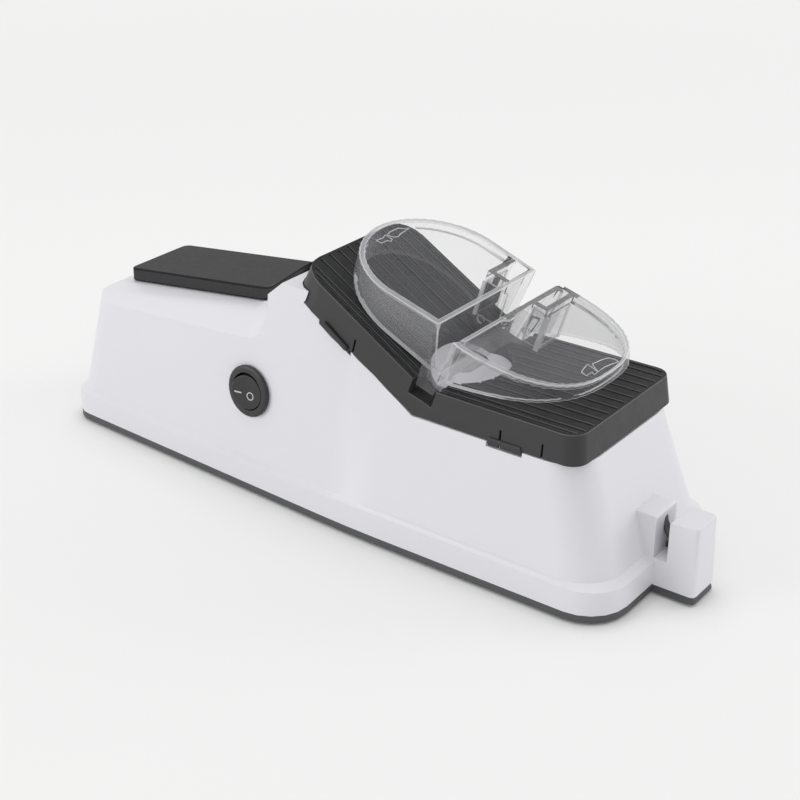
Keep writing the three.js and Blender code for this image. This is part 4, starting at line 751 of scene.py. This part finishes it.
# the pockets' walls reach down towards the cover, with a post at two corners; for each: from and to
# along the guide, from and to across it, and its foot
pocketLook = {
    "top": -2.4, "edgeWidth": 0.0003, "edgeSegments": 2, "edgeAngle": 30,
    "walls": (
        (-10.9, -1.8, 11.7, 12.5, -15.5), (-10.9, -10.1, 12.9, 24.0, -15.5),
        (7.2, 13.4, 12.9, 13.7, -15.3), (12.8, 13.8, 14.1, 26.0, -15.3)),
    "posts": ((12.3, 14.1, 11.9, 12.7, -15.6), (-11.4, -9.9, 10.8, 11.5, -15.6))}
panels = []
# the walls take the fainter veil, the posts the pale painted light, and the bevels the painted edge
# highlight
for kind, material in (("walls", clearFaintVeil), ("posts", postPaintedLight)):
    for rearEdge, frontEdge, nearEdge, farEdge, foot in pocketLook[kind]:
        top = pocketLook["top"]
        middle = onGuide((rearEdge + frontEdge) / 2, (nearEdge + farEdge) / 2, (foot + top) / 2)
        size = (frontEdge - rearEdge, farEdge - nearEdge, top - foot)
        panel = addBlock("pocketWall", middle, guideTurn, size)
        giveMaterials(panel, [material, paintedEdgeHighlight])
        bevelEdges(panel, pocketLook, stripSlot=1)
        panels.append(panel)
pocketWalls = joinPieces("pocketWalls", panels)
smoothShade(pocketWalls)
finishPiece(pocketWalls, "cover")

# outlines of a knife on both roofs, for which way round it goes
markLook = {"line": 0.00016, "frontRoof": 1.15, "rearRoof": 1.66}
frontBlade = (
    (38.0, -1.4), (38.5, 3.0), (39.2, 6.0), (41.0, 7.4), (42.4, 7.2), (41.7, 4.4), (41.2, 0.8), (41.2, -3.1))
frontHandle = (
    (37.1, -2.8), (41.2, -3.1), (41.4, -5.4), (40.2, -5.0), (40.2, -8.2), (38.2, -8.0), (37.6, -5.4))
rearBlade = (
    (-41.8, -2.7), (-40.1, -1.8), (-39.3, -0.4), (-40.0, 2.1), (-40.4, 6.6), (-42.6, 4.0), (-42.6, -0.4))
rearHandle = (
    (-42.3, -3.2), (-39.4, -3.2), (-38.8, -4.4), (-39.8, -5.4), (-39.8, -8.3), (-41.8, -8.5), (-41.5, -5.4))
drawings = (
    ("frontRoof", frontBlade), ("frontRoof", frontHandle), ("rearRoof", rearBlade), ("rearRoof", rearHandle))
marks = []
for roof, outline in drawings:
    places = [onGuide(u, y, markLook[roof]) for u, y in outline]
    marks.append(roundBar("knifeMark", places, markLook["line"], closed=True))
knifeMarks = joinPieces("knifeMarks", marks)
# the outlines are real marks, drawn in the pale painted edge highlight
giveMaterials(knifeMarks, [paintedEdgeHighlight])
finishPiece(knifeMarks, "cover")

# the two moulded hooks beside the knife slot
hookLook = {
    "radius": 1.3, "bar": 0.0003, "turn": 300, "steps": 12,
    "places": ((-8.3, 12.1, -16.4), (8.2, 12.0, -10.8))}
hooks = []
for u, y, w in hookLook["places"]:
    steps, radius = hookLook["steps"], hookLook["radius"]
    angles = [math.radians(hookLook["turn"] * step / steps) for step in range(steps + 1)]
    places = [onGuide(u + radius * math.cos(angle), y, w + radius * math.sin(angle)) for angle in angles]
    hooks.append(roundBar("guideHook", places, hookLook["bar"], handles="AUTO"))
guideHooks = joinPieces("guideHooks", hooks)
# the hooks are drawn in the pale painted edge highlight
giveMaterials(guideHooks, [paintedEdgeHighlight])
finishPiece(guideHooks, "cover")
print("stage: guide")

switchLook = {"edgeWidth": 0.0003, "edgeSegments": 3}
for node, name, body in (
        ("switch_housing", "switchHousing", "case"), ("switch_rocker", "switchRocker", "rocker")):
    switchPiece = copyOfNode(node, name)
    bevelEdges(switchPiece, switchLook)
    smoothShade(switchPiece)
    giveMaterials(switchPiece, [switchPlastic])
    finishPiece(switchPiece, body, [node])

# the bar and ring on the rocker, in millimetres; both start at startY and are laid on its dished face
signLook = {
    "barPlace": (88.1, 37.0), "barLength": 2.7, "barWidth": 0.44, "barSteps": (8, 2),
    "ringPlace": (93.0, 36.5), "ringRadius": 1.42, "ringWidth": 0.32, "ringSides": 40,
    "startY": -35, "thickness": 0.12, "lift": 0.06}


def signStart(place):
    # where a sign is added, and its turn to face the near side
    x, z = place
    return {"location": spot(x, signLook["startY"], z), "rotation": (math.radians(90), 0, 0)}


def layOnRocker(sign):
    # down on to the rocker's face from the near side, then given its thickness
    onlySelect(sign)
    lay = sign.modifiers.new("lay", "SHRINKWRAP")
    lay.wrap_method = "PROJECT"
    lay.use_project_y = True
    lay.use_negative_direction = True
    lay.use_positive_direction = True
    lay.target = bpy.data.objects["switchRocker"]
    lay.offset = signLook["lift"] / 1000
    bpy.ops.object.modifier_apply(modifier=lay.name)
    thick = sign.modifiers.new("thick", "SOLIDIFY")
    thick.thickness = signLook["thickness"] / 1000
    thick.offset = 0
    bpy.ops.object.modifier_apply(modifier=thick.name)
    giveMaterials(sign, [markPaint])
    finishPiece(sign, "rocker")


bpy.ops.mesh.primitive_circle_add(
    vertices=signLook["ringSides"], radius=signLook["ringRadius"] / 1000, fill_type="NGON",
    **signStart(signLook["ringPlace"]))
ringSign = bpy.context.object
ringSign.name = "ringSign"
bpy.ops.object.transform_apply(location=True, rotation=True, scale=True)
editAll(ringSign)
bpy.ops.mesh.inset(thickness=signLook["ringWidth"] / 1000)
bpy.ops.mesh.delete(type="FACE")
bpy.ops.object.mode_set(mode="OBJECT")
layOnRocker(ringSign)

bpy.ops.mesh.primitive_grid_add(
    x_subdivisions=signLook["barSteps"][0], y_subdivisions=signLook["barSteps"][1], size=1,
    **signStart(signLook["barPlace"]))
barSign = bpy.context.object
barSign.name = "barSign"
barSign.scale = (signLook["barLength"] / 1000, signLook["barWidth"] / 1000, 1)
bpy.ops.object.transform_apply(location=True, rotation=True, scale=True)
layOnRocker(barSign)
print("stage: switch")

# the CAD nodes that are carried over, by the start of their names
finishes = {
    "base_screw": zincSteel, "board_capacitor": innerPlastic, "board_rectifier": innerPlastic,
    "ceramic_rod": rodCeramic, "circuit_board": boardLaminate, "grinding_wheel": wheelStone,
    "inlet_pin": plainBrass, "lead_": leadCover, "motor_can": zincSteel, "motor_cradle": innerPlastic,
    "motor_rear_cap": innerPlastic, "motor_shaft": zincSteel, "motor_strap": zincSteel,
    "motor_terminal": plainBrass, "power_inlet": innerPlastic, "rubber_foot": footRubber,
    "strap_screw": zincSteel, "switch_terminal": plainBrass, "wheel_flange": zincSteel,
    "wheel_nut": zincSteel, "wheel_washer": zincSteel}
for nodeName, node in frame["nodes"].items():
    for start, material in finishes.items():
        if nodeName.startswith(start):
            node.data.materials.clear()
            node.data.materials.append(material)
print("stage: finishes")

# the floor is lit paper up to fadeFrom metres from the middle, and an even pale tone beyond fadeTo;
# hold is the even tone's share near the middle
studio = {
    "floorSize": 8.0, "paper": (0.892, 0.892, 0.888), "paperRoughness": 0.9, "shown": 0.885, "warmth": 0.995,
    "hold": 0.05, "fadeFrom": 0.16, "fadeTo": 0.8, "sky": 0.74}
lamps = (
    {"name": "lampTop", "place": (-0.1, 0.1, 1.3), "target": (0, 0, 0), "size": 1.0, "power": 3.6},
    {"name": "lampNear", "place": (-0.85, -1.1, 0.3), "target": (0, 0, 0.04), "size": 0.9, "power": 5.2},
    {"name": "lampFar", "place": (0.95, 1.05, 0.3), "target": (0, 0, 0.04), "size": 0.9, "power": 4.6})
view = {
    "place": (0.29707, -0.38731, 0.27219), "look": (-0.53668, 0.71840, -0.44259),
    "lens": 72.65, "sensor": 36.0, "clipStart": 0.01, "clipEnd": 30.0}


def seenBy(tree, firstRay, *otherRays):
    # a node whose value is 1 for these kinds of ray and 0 for all others
    path = addNode(tree, "LightPath")
    last, output = path, firstRay
    for ray in otherRays:
        either = addNode(tree, "Math", operation="MAXIMUM")
        wire(tree, (last, output, either, 0), (path, ray, either, 1))
        last, output = either, "Value"
    return last


def makeFloor():
    bpy.ops.mesh.primitive_plane_add(size=studio["floorSize"], location=(0, 0, 0))
    floor = bpy.context.object
    floor.name = "floorPaper"
    material, tree, shader = newMaterial("floorPaper")
    shader.inputs["Base Color"].default_value = (*studio["paper"], 1)
    shader.inputs["Roughness"].default_value = studio["paperRoughness"]
    shader.inputs["Specular IOR Level"].default_value = 0.0
    shown = studio["shown"]
    glow = addNode(tree, "Emission", {"Color": (shown, shown, shown * studio["warmth"], 1), "Strength": 1.0})
    coords = addNode(tree, "TexCoord")
    away = addNode(tree, "VectorMath", operation="LENGTH")
    fade = addNode(tree, "MapRange", {
        "From Min": studio["fadeFrom"], "From Max": studio["fadeTo"],
        "To Min": studio["hold"]}, interpolation_type="SMOOTHSTEP")
    seen = seenBy(tree, "Is Camera Ray", "Is Transmission Ray")
    share = addNode(tree, "Math", operation="MULTIPLY")
    mix = addNode(tree, "MixShader")
    wire(tree,
         (coords, "Object", away, 0), (away, "Value", fade, "Value"),
         (seen, "Value", share, 0), (fade, "Result", share, 1), (share, "Value", mix, "Fac"),
         (shader, "BSDF", mix, 1), (glow, "Emission", mix, 2),
         (mix, "Shader", tree.nodes["Material Output"], "Surface"))
    giveMaterials(floor, [material])


def makeWorld():
    world = bpy.data.worlds.new("studioWorld")
    bpy.context.scene.world = world
    world.use_nodes = True
    tree = world.node_tree
    plain = tree.nodes["Background"]
    plain.inputs["Color"].default_value = (1, 1, 1, 1)
    plain.inputs["Strength"].default_value = studio["sky"]
    shown = studio["shown"]
    backdrop = addNode(tree, "Background", {"Color": (shown, shown, shown, 1), "Strength": 1.0})
    seen = seenBy(tree, "Is Camera Ray", "Is Glossy Ray", "Is Transmission Ray")
    mix = addNode(tree, "MixShader")
    wire(tree,
         (seen, "Value", mix, "Fac"), (plain, "Background", mix, 1), (backdrop, "Background", mix, 2),
         (mix, "Shader", tree.nodes["World Output"], "Surface"))


def makeLamp(look):
    bpy.ops.object.light_add(type="AREA", location=look["place"])
    lamp = bpy.context.object
    lamp.name = look["name"]
    lamp.data.shape = "DISK"
    lamp.data.size = look["size"]
    lamp.data.energy = look["power"]
    aim = Vector(look["target"]) - Vector(look["place"])
    lamp.rotation_euler = aim.to_track_quat("-Z", "Y").to_euler()


makeFloor()
makeWorld()
for lampLook in lamps:
    makeLamp(lampLook)

bpy.ops.object.camera_add(location=view["place"])
camera = bpy.context.object
camera.rotation_euler = Vector(view["look"]).to_track_quat("-Z", "Y").to_euler()
camera.data.lens = view["lens"]
camera.data.sensor_width = view["sensor"]
camera.data.clip_start = view["clipStart"]
camera.data.clip_end = view["clipEnd"]
bpy.context.scene.camera = camera
bpy.context.scene.view_settings.view_transform = "Standard"
print("stage: studio")

bpy.context.view_layer.update()
print("stage: done")
